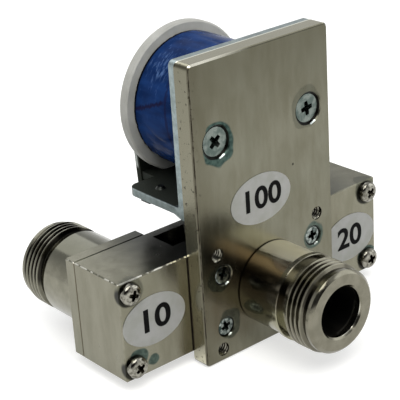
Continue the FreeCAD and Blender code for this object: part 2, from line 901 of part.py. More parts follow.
def make_bobbin():
    body = new_body("bobbin")
    front = yoke_back + mm.coil_front_gap
    front_inner = front + mm.front_flange_thick
    outer = mm.tube_radius + mm.tube_wall
    soft = 0.3
    outline = [
        (front, mm.tube_radius),
        (front, mm.front_flange_radius),
        (front_inner, mm.front_flange_radius),
        (front_inner, outer),
        (mm.rear_flange_front, outer),
        (mm.rear_flange_front, mm.rear_flange_radius - soft),
        (mm.rear_flange_front + soft, mm.rear_flange_radius),
        (rear_flange_back - soft, mm.rear_flange_radius),
        (rear_flange_back, mm.rear_flange_radius - soft),
        (rear_flange_back, mm.tube_radius),
    ]
    revolve(body, outline, axis_z=mm.coil_height)
    flat = new_sketch(body, "XZ_Plane", -rear_flange_back)
    edge = mm.rear_flange_radius
    low = mm.coil_height - mm.rear_flange_radius - 1
    add_rectangle(flat, -edge, edge, low, mm.yoke_leg_top + mm.flange_flat_gap)
    pocket(body, flat, mm.rear_flange_thick, reverse=True)
    holes = new_sketch(body, "XZ_Plane", -rear_flange_back)
    for level in SIDES:
        up = mm.coil_height + level * mm.terminal_spread
        add_circle(holes, mm.terminal_across, up, mm.terminal_radius + mm.seat_gap)
    pocket(body, holes, mm.rear_flange_thick - 0.5, reverse=True)
    return body


def make_ring(label, start, end, inner, outer):
    body = new_body(label)
    outline = [(start, inner), (start, outer), (end, outer), (end, inner)]
    revolve(body, outline, axis_z=mm.coil_height)
    return body


def make_coil_terminals():
    start = rear_flange_back - mm.rear_flange_thick + 0.5
    pins = []
    for level in SIDES:
        up = mm.coil_height + level * mm.terminal_spread
        pins.append(
            cylinder(
                "pin",
                mm.terminal_radius,
                mm.terminal_long,
                mm.terminal_across,
                start,
                up,
                ALONG_Y,
            )
        )
    return group("coil_terminals", pins)


def hang_on_tongue(body):
    """Puts a piece drawn about the pivot into its resting tilt, leaning back."""
    body.Placement = FreeCAD.Placement(
        FreeCAD.Vector(), FreeCAD.Rotation(FreeCAD.Vector(1, 0, 0), -mm.rest_angle.value)
    )
    bind(body, "Placement.Rotation.Angle", -mm.rest_angle)
    bind(body, "Placement.Base.y", pivot_y)
    bind(body, "Placement.Base.z", pivot_z)
    return body


def make_armature():
    body = new_body("armature")
    face = new_sketch(body, "XZ_Plane", -armature_face)
    arm_under = mm.arm_drop + mm.armature_thick
    wide, narrow = mm.armature_half, mm.arm_half
    add_polygon(
        face,
        [
            (-narrow, -arm_under),
            (narrow, -arm_under),
            (narrow, -mm.armature_low),
            (wide, -mm.armature_low),
            (wide, mm.armature_high),
            (-wide, mm.armature_high),
            (-wide, -mm.armature_low),
            (-narrow, -mm.armature_low),
        ],
    )
    blade = pad(body, face, mm.armature_thick, reverse=True)

    def top_corner(edge):
        across = runs_along(edge, FreeCAD.Vector(0, 1, 0))
        return across and near(edge.Vertexes[0].Z, mm.armature_high.value)

    dress(body, "Fillet", blade, top_corner, mm.armature_corner)
    arm = new_sketch(body, "XY_Plane", -arm_under)
    add_rectangle(arm, -narrow, narrow, -mm.arm_long, armature_face + mm.armature_thick)
    bent = pad(body, arm, mm.armature_thick)
    back = (armature_face + mm.armature_thick).value

    def heel(edge):
        spot = edge.CenterOfMass
        along_x = runs_along(edge, FreeCAD.Vector(1, 0, 0))
        return along_x and near(spot.y, back) and near(spot.z, -arm_under.value)

    dress(body, "Fillet", bent, heel, mm.armature_thick * 0.9)
    return hang_on_tongue(body)


def make_residual_pad():
    body = new_body("residual_pad")
    disc = new_sketch(body, "XZ_Plane", -armature_face + mm.residual_thick)
    add_circle(disc, 0, mm.coil_height - pivot_z, mm.residual_radius)
    pad(body, disc, mm.residual_thick, reverse=True)
    return hang_on_tongue(body)


def make_crossbar():
    body = new_body("crossbar")
    face = new_sketch(body, "XZ_Plane", mm.bar_front)
    add_polygon(
        face,
        [
            (-mm.bar_half, -mm.bar_under),
            (mm.bar_half, -mm.bar_under),
            (mm.bar_half, -mm.bar_over),
            (mm.socket_half, -mm.bar_over + 0.6),
            (mm.socket_half, -mm.socket_top),
            (-mm.socket_half, -mm.socket_top),
            (-mm.socket_half, -mm.bar_over + 0.6),
            (-mm.bar_half, -mm.bar_over),
        ],
    )
    pad(body, face, mm.bar_front - mm.bar_rear, reverse=True)
    socket = new_sketch(body, "XZ_Plane", mm.bar_rear)
    gap = mm.seat_gap
    add_rectangle(
        socket,
        -mm.arm_half - gap,
        mm.arm_half + gap,
        -mm.arm_drop - mm.armature_thick - gap,
        -mm.arm_drop + gap,
    )
    pocket(body, socket, mm.arm_long - mm.bar_rear + gap, reverse=True)
    return hang_on_tongue(body)


def make_armature_spring():
    """A forked leaf under the yoke: its hooked fingers hold the armature on the tongue."""
    body = new_body("armature_spring")
    side_view = new_sketch(body, "YZ_Plane")
    top = yoke_leg_under
    thick = mm.leaf_thick
    add_polygon(
        side_view,
        [
            (mm.leaf_front, top - thick),
            (mm.leaf_back, top - thick),
            (mm.finger_step, mm.finger_low),
            (mm.finger_rear + thick, mm.finger_low),
            (mm.finger_rear + thick, mm.finger_hook),
            (mm.finger_rear, mm.finger_hook),
            (mm.finger_rear, mm.finger_low + thick),
            (mm.finger_step + 0.1, mm.finger_low + thick),
            (mm.leaf_back + 0.1, top),
            (mm.leaf_front, top),
        ],
    )
    pad(body, side_view, mm.finger_outer * 2, midplane=True)
    slot = new_sketch(body, "XY_Plane", top)
    add_rectangle(slot, -mm.finger_inner, mm.finger_inner, mm.leaf_back, mm.finger_rear + 1)
    pocket(body, slot, Size.of(3))
    base = new_sketch(body, "XY_Plane", top - thick)
    add_rectangle(base, -mm.leaf_half, mm.leaf_half, mm.leaf_front, mm.leaf_back)
    pad(body, base, thick)
    holes = new_sketch(body, "XY_Plane", top)
    for side in SIDES:
        add_circle(holes, side * mm.rivet_across, mm.rivet_back, mm.rivet_radius + mm.seat_gap)
    pocket(body, holes, thick)
    return body


def make_spring_rivets():
    rivets = []
    tail_top = yoke_leg_under - mm.leaf_thick
    upright = FreeCAD.Rotation()
    for side in SIDES:
        x = side * mm.rivet_across
        y = mm.rivet_back
        grip = mm.yoke_leg_top - tail_top
        tail = mm.rivet_tail_thick
        pieces = [
            cylinder("shank", mm.rivet_radius, grip, x, y, tail_top, upright),
            cone(
                "head",
                mm.rivet_head_radius,
                mm.rivet_head_radius * 0.6,
                mm.rivet_head_thick,
                x,
                y,
                mm.yoke_leg_top,
                upright,
            ),
            cylinder("tail", mm.rivet_head_radius * 0.9, tail, x, y, tail_top - tail, upright),
        ]
        rivets.append(fuse("rivet", pieces))
    return group("spring_rivets", rivets)


def countersunk_screw(x, y, z, head, shank, length, rotation):
    """A flush screw: a cone that narrows at 45 degrees to its shank."""
    pieces = [
        cone("head", head, shank, head - shank, x, y, z, rotation),
        cylinder("shank", shank, length, x, y, z, rotation),
    ]
    return fuse("screw", pieces)


def pan_screw(x, y, z, length):
    """A pan-head screw seated at y, with its shank running back along Y."""
    crown_y = y - mm.pan_side
    pieces = [
        cylinder("shank", mm.block_screw_radius, length, x, y, z, ALONG_Y),
        cylinder("head", mm.pan_radius, mm.pan_side, x, y, z, AGAINST_Y),
        cone("crown", mm.pan_radius, mm.pan_crown_radius, mm.pan_crown, x, crown_y, z, AGAINST_Y),
    ]
    return fuse("screw", pieces)


def make_screws():
    yoke_screws = [
        countersunk_screw(
            side * mm.yoke_screw_across,
            mm.yoke_screw_sunk,
            mm.yoke_screw_up,
            mm.yoke_screw_head,
            mm.yoke_screw_radius,
            yoke_back - mm.yoke_screw_sunk,
            ALONG_Y,
        )
        for side in SIDES
    ]
    plate_screws = [
        countersunk_screw(
            side * mm.plate_screw_across,
            mm.plate_screw_sunk,
            level * mm.plate_screw_up,
            mm.plate_screw_head,
            mm.plate_screw_radius,
            mm.plate_screw_long - mm.plate_screw_sunk,
            ALONG_Y,
        )
        for side in SIDES
        for level in SIDES
    ]
    block_screws = [
        pan_screw(
            side * mm.block_screw_across,
            block_front,
            level * mm.block_screw_up,
            mm.block_depth + mm.flange_thick,
        )
        for side in SIDES
        for level in SIDES
    ]
    flange_screws = [
        countersunk_screw(
            side * mm.flange_screw_across,
            flange_rear,
            level * mm.flange_screw_up,
            mm.flange_screw_head,
            mm.flange_screw_radius,
            mm.flange_screw_long,
            AGAINST_Y,
        )
        for side in SIDES
        for level in SIDES
    ]
    lid_screws = [
        countersunk_screw(
            side * mm.lid_screw_across,
            back,
            -mm.block_up,
            mm.lid_screw_head,
            mm.lid_screw_radius,
            mm.lid_screw_long,
            FreeCAD.Rotation(),
        )
        for side in SIDES
        for back in (mm.lid_screw_front, mm.lid_screw_rear)
    ]
    return [
        group("yoke_screws", yoke_screws),
        group("plate_screws", plate_screws),
        group("block_screws", block_screws),
        group("flange_screws", flange_screws),
        group("bottom_cover_screws", lid_screws),
    ]


def make_label(label, x, z, face, major, minor):
    """A thin oval sticker on a front face."""
    oval = doc.addObject("Part::Ellipse", "oval")
    bind(oval, "MajorRadius", major)
    bind(oval, "MinorRadius", minor)
    place(oval, x, face, z, AGAINST_Y)
    sticker = doc.addObject("Part::Extrusion", label)
    sticker.Label = label
    sticker.Base = oval
    sticker.DirMode = "Custom"
    sticker.Dir = FreeCAD.Vector(0, -1, 0)
    bind(sticker, "LengthFwd", mm.label_thick)
    sticker.Solid = True
    return sticker


def make_everything():
    com_tip = -mm.jack_reach + mm.contact_recess
    rear_rim = flange_rear + mm.jack_reach
    rear_tip = rear_rim - mm.contact_recess
    post_reach = mm.pusher_back + mm.blade_wide * 0.5 + 0.6
    rear_post_reach = mm.pusher_back - mm.blade_wide * 0.5 - 0.3
    mouth_floor = rear_rim - mm.mouth_depth
    bead_end = mm.cavity_rear + 0.1
    open_blade_under = mm.contact_radius + mm.pusher_travel + mm.seat_gap
    closed_blade_under = -mm.contact_radius - mm.seat_gap - mm.blade_thick
    winding_front = yoke_back + mm.coil_front_gap + mm.front_flange_thick
    winding_rear = mm.rear_flange_front
    tape_inner = mm.tape_radius - mm.tape_thick
    nodes = [
        make_front_plate(),
        make_rf_body(),
        make_bottom_cover(),
        make_com_jack(),
        make_rear_jack("no_jack", -1),
        make_rear_jack("nc_jack", 1),
        make_insulator("com_insulator", -mm.jack_reach + mm.mouth_depth, mm.cavity_front),
        make_insulator("no_insulator", bead_end, mouth_floor, -mm.rear_jack_across),
        make_insulator("nc_insulator", bead_end, mouth_floor, mm.rear_jack_across),
        make_contact("com_contact", post_reach, com_tip, -1),
        make_contact("no_contact", rear_post_reach, rear_tip, 1, -mm.rear_jack_across),
        make_contact("nc_contact", rear_post_reach, rear_tip, 1, mm.rear_jack_across),
        make_blade("no_reed", -1, open_blade_under),
        make_blade("nc_reed", 1, closed_blade_under),
        make_pusher("no_pusher", -1, open_blade_under),
        make_pusher("nc_pusher", 1, closed_blade_under),
        make_return_spring("no_return_spring", -1),
        make_return_spring("nc_return_spring", 1),
        make_yoke(),
        make_core(),
        make_bobbin(),
        make_ring(
            "winding",
            winding_front,
            winding_rear,
            mm.tube_radius + mm.tube_wall,
            tape_inner,
        ),
        make_ring(
            "tape_wrap", winding_front - mm.front_flange_thick, winding_rear, tape_inner, mm.tape_radius
        ),
        make_coil_terminals(),
        make_armature(),
        make_residual_pad(),
        make_crossbar(),
        make_armature_spring(),
        make_spring_rivets(),
        *make_screws(),
        make_label(
            "com_label",
            mm.com_label_across,
            mm.com_label_up,
            ZERO,
            mm.com_label_major,
            mm.com_label_minor,
        ),
    ]
    for label, across, up in (
        ("no_label", mm.no_label_across, mm.no_label_up),
        ("nc_label", mm.nc_label_across, mm.nc_label_up),
    ):
        nodes.append(
            make_label(label, across, up, block_front, mm.side_label_major, mm.side_label_minor)
        )
    return nodes


nodes = make_everything()
doc.recompute()
for thing in doc.Objects:
    if {"Invalid", "Error"} & set(thing.State):
        raise RuntimeError(f"{thing.Label} failed: {thing.State}")
for node in nodes:
    if node.Shape.isNull() or not node.Shape.isValid():
        raise RuntimeError(f"{node.Label} has no valid shape")
os.makedirs("parts", exist_ok=True)
for node in nodes:
    node.Shape.exportStep(f"parts/{node.Label}.step")
    print(f"{node.Label}: {len(node.Shape.Solids)} solid(s), {node.Shape.Volume:.1f} cubic mm")
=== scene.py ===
import bmesh
import bpy
import math
from mathutils import Matrix, Vector, noise


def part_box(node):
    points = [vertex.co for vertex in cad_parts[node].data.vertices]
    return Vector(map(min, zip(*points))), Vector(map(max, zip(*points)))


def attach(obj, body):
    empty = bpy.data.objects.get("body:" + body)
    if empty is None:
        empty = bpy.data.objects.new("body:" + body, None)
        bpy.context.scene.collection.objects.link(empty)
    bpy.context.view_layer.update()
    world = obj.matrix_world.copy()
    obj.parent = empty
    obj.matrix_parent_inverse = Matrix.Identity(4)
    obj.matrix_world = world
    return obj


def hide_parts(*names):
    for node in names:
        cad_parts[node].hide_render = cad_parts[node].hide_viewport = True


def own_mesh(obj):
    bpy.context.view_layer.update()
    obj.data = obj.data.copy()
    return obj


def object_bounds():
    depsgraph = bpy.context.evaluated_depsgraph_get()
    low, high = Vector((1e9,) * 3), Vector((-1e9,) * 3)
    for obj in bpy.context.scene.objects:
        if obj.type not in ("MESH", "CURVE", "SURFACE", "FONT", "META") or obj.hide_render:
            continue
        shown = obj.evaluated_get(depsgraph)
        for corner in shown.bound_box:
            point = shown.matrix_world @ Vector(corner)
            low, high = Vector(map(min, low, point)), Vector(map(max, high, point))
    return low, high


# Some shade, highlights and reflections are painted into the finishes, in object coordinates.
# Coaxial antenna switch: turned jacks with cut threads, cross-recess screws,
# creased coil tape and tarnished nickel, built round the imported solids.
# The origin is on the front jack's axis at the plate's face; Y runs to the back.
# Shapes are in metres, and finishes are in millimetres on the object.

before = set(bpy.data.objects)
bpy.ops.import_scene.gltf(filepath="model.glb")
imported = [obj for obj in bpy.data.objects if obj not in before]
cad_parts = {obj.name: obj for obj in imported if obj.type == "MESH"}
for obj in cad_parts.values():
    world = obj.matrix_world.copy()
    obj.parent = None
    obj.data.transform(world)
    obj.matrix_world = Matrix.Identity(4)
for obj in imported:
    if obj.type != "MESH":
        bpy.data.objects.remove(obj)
solid_box = [list(corner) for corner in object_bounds()]
MM = 0.001

# Turned jacks
THREAD_RADIUS = 7.94 * MM
THREAD_ROOT = 7.26 * MM
THREAD_PITCH = 25.4 * MM / 24
THREAD_LONG = 5.3 * MM
NOSE_LONG = 1.2 * MM
NOSE_RADIUS = 7.5 * MM
RELIEF_LONG = 1.4 * MM
RELIEF_RADIUS = 7.0 * MM
RING_LONG = 1.1 * MM
RIM_RADIUS = 6.9 * MM
MOUTH_RADIUS = 4.6 * MM
MOUTH_CHAMFER = 0.35 * MM
MOUTH_DEPTH = 9.0 * MM
BEAD_RADIUS = 3.6 * MM
FRONT_BARREL = 7.6 * MM
REAR_BARREL = 7.9 * MM
ROUND_STEPS = 128

front_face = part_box("front_plate")[0].y
block_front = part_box("rf_body")[0].y
com_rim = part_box("com_jack")[0].y
rear_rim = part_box("no_jack")[1].y
flange_rear = block_front + 15.1 * MM
rear_axis = 21.6 * MM

# Screws: place across and up in millimetres, and the recess's turn in degrees
YOKE_SCREWS = [(-10.55, 29.4, 42), (10.55, 29.4, 8)]
PLATE_SCREWS = [(-10.75, -5.0, 20), (-10.75, 5.0, 65), (10.75, -5.0, 35), (10.75, 5.0, 8)]
BLOCK_SCREWS = [(-28.3, -6.95, 30), (-28.3, 6.95, 70), (28.3, -6.95, 15), (28.3, 6.95, 50)]
PORT_HOLES = [(x, z) for x in (-11.8, 11.8) for z in (-9.1, 9.1)]
YOKE_HEAD = 2.6
PLATE_HEAD = 1.66

# Coil
COIL_HEIGHT = 30.0 * MM
TAPE_RADIUS = 12.1 * MM
TAPE_DIP = 0.45 * MM

# Edges of the solids that the finishes follow, in millimetres
PLATE_SIDE, PLATE_BACK, PLATE_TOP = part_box("front_plate")[1] / MM
BLOCK_SIDE, BLOCK_REAR, BLOCK_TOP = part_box("rf_body")[1] / MM
BLOCK_FRONT = block_front / MM
POCKET_HALF, POCKET_FRONT, POCKET_BACK = 14.9, 8.2, 14.15
THREAD_END = (NOSE_LONG + THREAD_LONG) / MM
BARREL_START = THREAD_END + (RELIEF_LONG + RING_LONG) / MM
TAPE_FRONT, TAPE_REAR = (corner.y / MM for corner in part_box("tape_wrap"))
YOKE_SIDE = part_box("yoke")[1].x / MM
UPRIGHT_BACK = 4.9
LEG_TOP = 17.75
ARMATURE_FACE = 21.4
ARMATURE_LEAN = 0.075

# Colours, as linear values; a pair is a duller and a brighter one
BROWN_STAIN = (0.07, 0.055, 0.03)
# Painted shade for the gap round a screw's head
PAINTED_GAP_SHADE = (0.006, 0.006, 0.005)
FRONT_JACK = ((0.155, 0.147, 0.112), (0.2, 0.19, 0.148))
REAR_JACK = ((0.175, 0.17, 0.132), (0.225, 0.218, 0.172))
TEAL = ((0.014, 0.036, 0.033), (0.045, 0.08, 0.07))
OLIVE = ((0.018, 0.024, 0.018), (0.045, 0.052, 0.036))

# Lacquer: place across and up, radius, strength, height over width, and colours
PLATE_LACQUER = [
    (-10.2, 28.9, 3.5, 0.92, 1.25, TEAL),
    (10.0, 29.8, 3.7, 0.35, 1.1, OLIVE),
    (-11.6, 4.7, 2.9, 0.8, 0.95, OLIVE),
    (-10.0, -4.6, 2.7, 0.75, 1.15, OLIVE),
    (10.965, -5.0, 2.5, 0.75, 1.15, TEAL),
    (10.965, 5.0, 2.5, 0.75, 1.15, TEAL),
]
BLOCK_LACQUER = [
    (-28.017, 7.25, 2.8, 0.5, 1.1, OLIVE),
    (28.017, 7.25, 2.8, 0.5, 1.1, OLIVE),
    (-27.5, -5.7, 2.2, 0.85, 0.9, TEAL),
    (-24.7, -7.2, 1.3, 0.85, 0.9, TEAL),
    (28.0, -6.4, 2.4, 0.85, 0.9, TEAL),
]


class Field:
    """A number or colour that changes over a surface."""

    def __init__(self, tree, socket):
        self.tree = tree
        self.socket = socket

    def math(self, operation, first, second):
        return self.tree.node("Math", {"operation": operation}, {0: first, 1: second})

    def __add__(self, other):
        return self.math("ADD", self, other)

    def __sub__(self, other):
        return self.math("SUBTRACT", self, other)

    def __rsub__(self, other):
        return self.math("SUBTRACT", other, self)

    def __mul__(self, other):
        return self.math("MULTIPLY", self, other)

    def either(self, other):
        return self.math("MAXIMUM", self, other)

    __radd__ = __add__
    __rmul__ = __mul__


class Tree:
    """A node tree with one way to add a node."""

    def __init__(self, tree):
        self.tree = tree

    def node(self, kind, settings=None, inputs=None, output=0):
        made = self.tree.nodes.new(f"ShaderNode{kind}")
        for key, value in (settings or {}).items():
            if key == "stops":
                self.set_stops(made.color_ramp.elements, value)
            else:
                setattr(made, key, value)
        for key, value in (inputs or {}).items():
            self.feed(made.inputs[key], value)
        return Field(self, made.outputs[output])

    def feed(self, socket, value):
        if isinstance(value, Field):
            self.tree.links.new(value.socket, socket)
        else:
            socket.default_value = value

    @staticmethod
    def set_stops(elements, stops):
        while len(elements) < len(stops):
            elements.new(0.5)
        for element, (position, colour) in zip(elements, stops):
            element.position = position
            element.color = (*colour, 1)

    def blend(self, amount, first, second):
        inputs = {0: amount, 6: self.opaque(first), 7: self.opaque(second)}
        return self.node("Mix", {"data_type": "RGBA"}, inputs, 2)

    @staticmethod
    def opaque(colour):
        return colour if isinstance(colour, Field) else (*colour, 1)

    def between(self, value, low, high):
        """0 below low, 1 above high, smooth between; low may be the larger."""
        inputs = {0: value, 1: low, 2: high}
        return self.node("MapRange", {"interpolation_type": "SMOOTHSTEP"}, inputs)

    def band(self, value, start, full, fade, end):
        """0 outside start and end, and 1 from full to fade."""
        return self.between(value, start, full) * self.between(value, end, fade)

    def absolute(self, value):
        return self.node("Math", {"operation": "ABSOLUTE"}, {0: value})

    def over(self, colour, *coats):
        """Lays coats, each a mask and a colour, over a colour in turn."""
        for mask, coat in coats:
            colour = self.blend(mask, colour, coat)
        return colour


class Paint(Tree):
    """A procedural finish, with patterns in millimetres on the object."""

    def __init__(self, name, **plain):
        self.material = bpy.data.materials.new(name)
        self.material.use_nodes = True
        super().__init__(self.material.node_tree)
        self.shader = self.tree.nodes["Principled BSDF"]
        self.set(**plain)
        metres = self.node("TexCoord", output="Object")
        self.place = self.node("Mapping", inputs={0: metres, 3: (1000, 1000, 1000)})

    def set(self, **values):
        """Sets or links the shader's sockets; a keyword is a socket's name."""
        for key, value in values.items():
            name = key.replace("_", " ").title().replace("Ior", "IOR")
            if isinstance(value, tuple):
                value = (*value, 1)
            self.feed(self.shader.inputs[name], value)

    def clouds(self, size, detail=3.0, roughness=0.55, stretch=(1, 1, 1), shift=0.0):
        """Soft noise with lumps about size millimetres across."""
        scale = tuple(1 / (size * along) for along in stretch)
        inputs = {0: self.place, 1: (shift, shift, shift), 3: scale}
        spot = self.node("Mapping", inputs=inputs)
        inputs = {"Vector": spot, "Scale": 1.0, "Detail": detail, "Roughness": roughness}
        return self.node("TexNoise", inputs=inputs)

    def across(self, axis):
        return self.node("SeparateXYZ", inputs={0: self.place}, output=axis)

    def axes(self):
        """Millimetres to the right, to the back and up."""
        return [self.across(axis) for axis in range(3)]

    def reach(self, spot):
        """Distance in millimetres from a spot."""
        inputs = {0: self.place, 1: spot}
        return self.node("VectorMath", {"operation": "DISTANCE"}, inputs, "Value")

    def smear(self, spot, radius, tall=1.0):
        """An uneven patch round a spot, as high as its width times tall."""
        wobble = self.clouds(3.5, 1.0) * 1.8 - 0.9
        inputs = {0: self.place, 1: spot}
        offset = self.node("VectorMath", {"operation": "SUBTRACT"}, inputs)
        inputs = {0: offset, 1: (1, 1, 1 / tall)}
        squashed = self.node("VectorMath", {"operation": "MULTIPLY"}, inputs)
        away = self.node("VectorMath", {"operation": "LENGTH"}, {0: squashed}, "Value")
        return self.between(away + wobble, radius, radius - 0.4)

    def dent(self, height, strength=0.2, distance=0.02):
        inputs = {"Strength": strength, "Distance": distance * MM, "Height": height}
        self.set(normal=self.node("Bump", inputs=inputs))


def nickel(name, bright, dull):
    """Dull satin nickel with upright mottling, soft clouds and brown specks."""
    paint = Paint(name, metallic=1.0)
    mottle = paint.clouds(3.0, 4.0, 0.6, stretch=(1, 1, 3.5))
    broad = paint.between(paint.clouds(14, 2.0, 0.5, shift=3.0), 0.45, 0.75)
    specks = paint.between(paint.clouds(0.5, 2.0, shift=7.0), 0.7, 0.76)
    colour = paint.over(
        paint.blend(paint.between(mottle, 0.3, 0.72), dull, bright),
        (broad * 0.3, (0.2, 0.205, 0.165)),
        (specks * 0.5, BROWN_STAIN),
    )
    rough = paint.between(mottle, 0.2, 0.8) * 0.08 + 0.2
    paint.dent(paint.clouds(0.35, 3.0) + mottle * 0.5, 0.1)
    return paint, colour, rough


def lacquer(paint, colour, rough, face, spots):
    """Sealing lacquer smeared on a front face, round the screws."""
    deep = paint.between(paint.clouds(0.8, 2.0), 0.35, 0.65)
    for x, z, radius, amount, tall, tints in spots:
        patch = paint.smear((x, face, z), radius, tall)
        colour = paint.blend(patch * amount, colour, paint.blend(deep, *tints))
        rough = rough + patch * 0.05
    return colour, rough


def gap_shade_and_glint(paint, colour, spot, radius, width, glint):
    """Painted shade, black, in the gap round a screw's head, and a painted highlight, a bright
    crescent at its lower right.
    """
    x, y, z = spot
    gap = radius + width
    away = paint.reach((x - width * 0.15, y, z))
    corner = paint.reach((x + radius * 0.45, y, z - gap))
    crescent = paint.between(corner, radius * 0.32, radius * 0.22)
    crescent = crescent * paint.band(away - gap, -0.14, -0.08, 0.05, 0.12)
    ring = paint.between(away, gap, gap - 0.12)
    return paint.over(colour, (ring, PAINTED_GAP_SHADE), (crescent, glint))


def plate_tarnish(paint, colour, face):
    """Browner towards the plate's left side, its top and the front jack."""
    side, _, up = paint.axes()
    wander = paint.clouds(9, 3.0) * 5
    round_jack = paint.reach((-8.0, face, 0.5)) + paint.clouds(3, 2.0) * 4
    return paint.over(
        colour,
        (paint.between(side + wander, -5.5, -14.5) * 0.4, (0.065, 0.056, 0.033)),
        (paint.between(up + wander, 27, 46) * 0.5, (0.07, 0.066, 0.044)),
        (paint.between(round_jack, 13, 5) * 0.5, (0.085, 0.06, 0.03)),
    )


def plate_edges(paint, colour):
    """Painted highlights along the top edges, a top face and left side face painted lighter, and a
    dark broken line down the left corner.
    """
    side, along, up = paint.axes()
    below_top = PLATE_TOP - up
    from_side = side + PLATE_SIDE
    # Painted light: a lighter top face, painted highlights along its back and front edges, and a
    # left side face painted lighter, most of all low down
    top = paint.between(below_top, 0.2, 0.1)
    back = top * paint.between(along, PLATE_BACK - 0.4, PLATE_BACK - 0.15)
    crest = paint.between(below_top, 0.36, 0.26) * paint.between(along, 0.4, 0.3)
    crest = crest * paint.between(side, -1.0, -13.0)
    high = paint.between(up, 4, 22)
    flank = paint.between(from_side, 0.1, 0.02) * (1 - high * 0.5)
    flank_colour = paint.blend(1 - high, (0.27, 0.26, 0.195), (0.5, 0.48, 0.37))
    corner = paint.between(from_side, 0.36, 0.28) * paint.between(along, 0.36, 0.28)
    pits = paint.between(paint.clouds(0.9, 3.0, 0.7, (1, 1, 1.6), shift=5.0), 0.42, 0.56)
    line = paint.between(from_side, 0.32, 0.24) * paint.between(along, 0.2, 0.12)
    dots = paint.between(paint.clouds(0.75, 2.0, 0.6, shift=9.0), 0.62, 0.68)
    dots = dots * paint.between(from_side, 1.5, 0.4)
    colour = paint.over(
        colour,
        (top, (0.3, 0.285, 0.21)),
        (back, (0.85, 0.86, 0.76)),
        (crest, (0.85, 0.82, 0.7)),
        (flank * 0.95, flank_colour),
        (corner, (0.13, 0.122, 0.09)),
        (line * (pits * 0.55 + 0.45), (0.014, 0.011, 0.007)),
        (dots * 0.75, (0.02, 0.016, 0.009)),
    )
    return colour, corner


def plate_nickel():
    face = front_face / MM
    paint, colour, rough = nickel("plate_nickel", (0.178, 0.173, 0.132), (0.138, 0.132, 0.095))
    colour = plate_tarnish(paint, colour, face)
    colour, rough = lacquer(paint, colour, rough, face, PLATE_LACQUER)
    # Painted shade round the screw heads, each with a painted highlight crescent
    for x, z, _ in YOKE_SCREWS:
        colour = gap_shade_and_glint(paint, colour, (x, face, z), YOKE_HEAD, 0.45, (0.7, 0.76, 0.74))
    for x, z, _ in PLATE_SCREWS:
        colour = gap_shade_and_glint(paint, colour, (x, face, z), PLATE_HEAD, 0.25, (0.5, 0.54, 0.5))
    pinhole = paint.between(paint.reach((6.4, face, 20.3)), 0.3, 0.15)
    colour = paint.blend(pinhole * 0.8, colour, (0.01, 0.009, 0.007))
    # Painted shade, deeper inside the four open holes
    for x, z in PORT_HOLES:
        inside = paint.between(paint.reach((x, face + 2.4, z)), 2.4, 2.0)
        colour = paint.blend(inside * 0.8, colour, (0.02, 0.018, 0.015))
    colour, corner = plate_edges(paint, colour)
    paint.set(base_color=colour, roughness=rough + corner * 0.2)
    return paint.material


def block_stain_and_shade(paint, colour):
    """Brown stain on the block's front and black painted shade on its top, both deeper near the
    plate; painted shade in the pocket and in the seam at the plate, and a dark joint at the flange.
    """
    side, along, up = paint.axes()
    aside = paint.absolute(side)
    from_front = along - BLOCK_FRONT
    streaks = paint.clouds(2.2, 4.0, 0.6, stretch=(1, 1, 4), shift=11.0) * 9
    brown = paint.between(aside + streaks, 28, 19) * paint.between(from_front, 0.5, 0.1)
    black = paint.between(aside + paint.clouds(5, 3.0) * 5, 31, 17.5)
    black = black * paint.between(BLOCK_TOP - up, 0.3, 0.02)
    pocket = paint.between(aside, POCKET_HALF, POCKET_HALF - 0.2)
    pocket = pocket * paint.band(along, POCKET_FRONT, POCKET_FRONT + 0.3, 13.9, POCKET_BACK)
    seam = paint.between(aside - PLATE_SIDE, 0.35, 0.15) * paint.between(from_front, 0.25, 0.1)
    joint = paint.band(along - BLOCK_REAR, -0.1, -0.03, 0.08, 0.2)
    joint = joint * paint.between(BLOCK_SIDE - aside, 0.3, 0.1)
    # Painted shade: black on the top, and near black in the pocket and in the seam against the
    # plate
    return paint.over(
        colour,
        (brown * 0.5, BROWN_STAIN),
        (black * 0.94, (0.038, 0.041, 0.037)),
        (pocket, (0.012, 0.012, 0.01)),
        (seam, (0.008, 0.005, 0.004)),
        (joint * 0.85, (0.04, 0.024, 0.014)),
    )


def block_edge_highlights(paint, colour):
    """Painted highlights: bright broken lines along the block's edges."""
    side, along, up = paint.axes()
    at_side = paint.between(BLOCK_SIDE - paint.absolute(side), 0.22, 0.14)
    at_top = paint.between(BLOCK_TOP - up, 0.22, 0.14)
    at_front = paint.between(along - BLOCK_FRONT, 0.3, 0.18)
    bevel = at_top * at_front * paint.between(side, 2, -2)
    bevel = bevel.either(at_side * at_front * 0.06).either(at_side * at_top)
    highlight_dashes = paint.between(paint.clouds(1.4, 3.0, shift=6.0), 0.4, 0.54)
    return paint.blend(bevel * highlight_dashes, colour, (0.78, 0.76, 0.68))


def block_nickel():
    paint, colour, rough = nickel("block_nickel", (0.215, 0.208, 0.16), (0.17, 0.163, 0.12))
    colour = block_stain_and_shade(paint, colour)
    colour = block_edge_highlights(paint, colour)
    colour, rough = lacquer(paint, colour, rough, BLOCK_FRONT, BLOCK_LACQUER)
    # Painted shadow, near black, round the base of each pan screw's head
    for x, z, _ in BLOCK_SCREWS:
        contact_shadow = paint.between(paint.reach((x - 0.3, BLOCK_FRONT, z - 0.05)), 2.5, 2.1)
        colour = paint.blend(contact_shadow * 0.92, colour, (0.008, 0.008, 0.007))
    paint.set(base_color=colour, roughness=rough)
    return paint.material


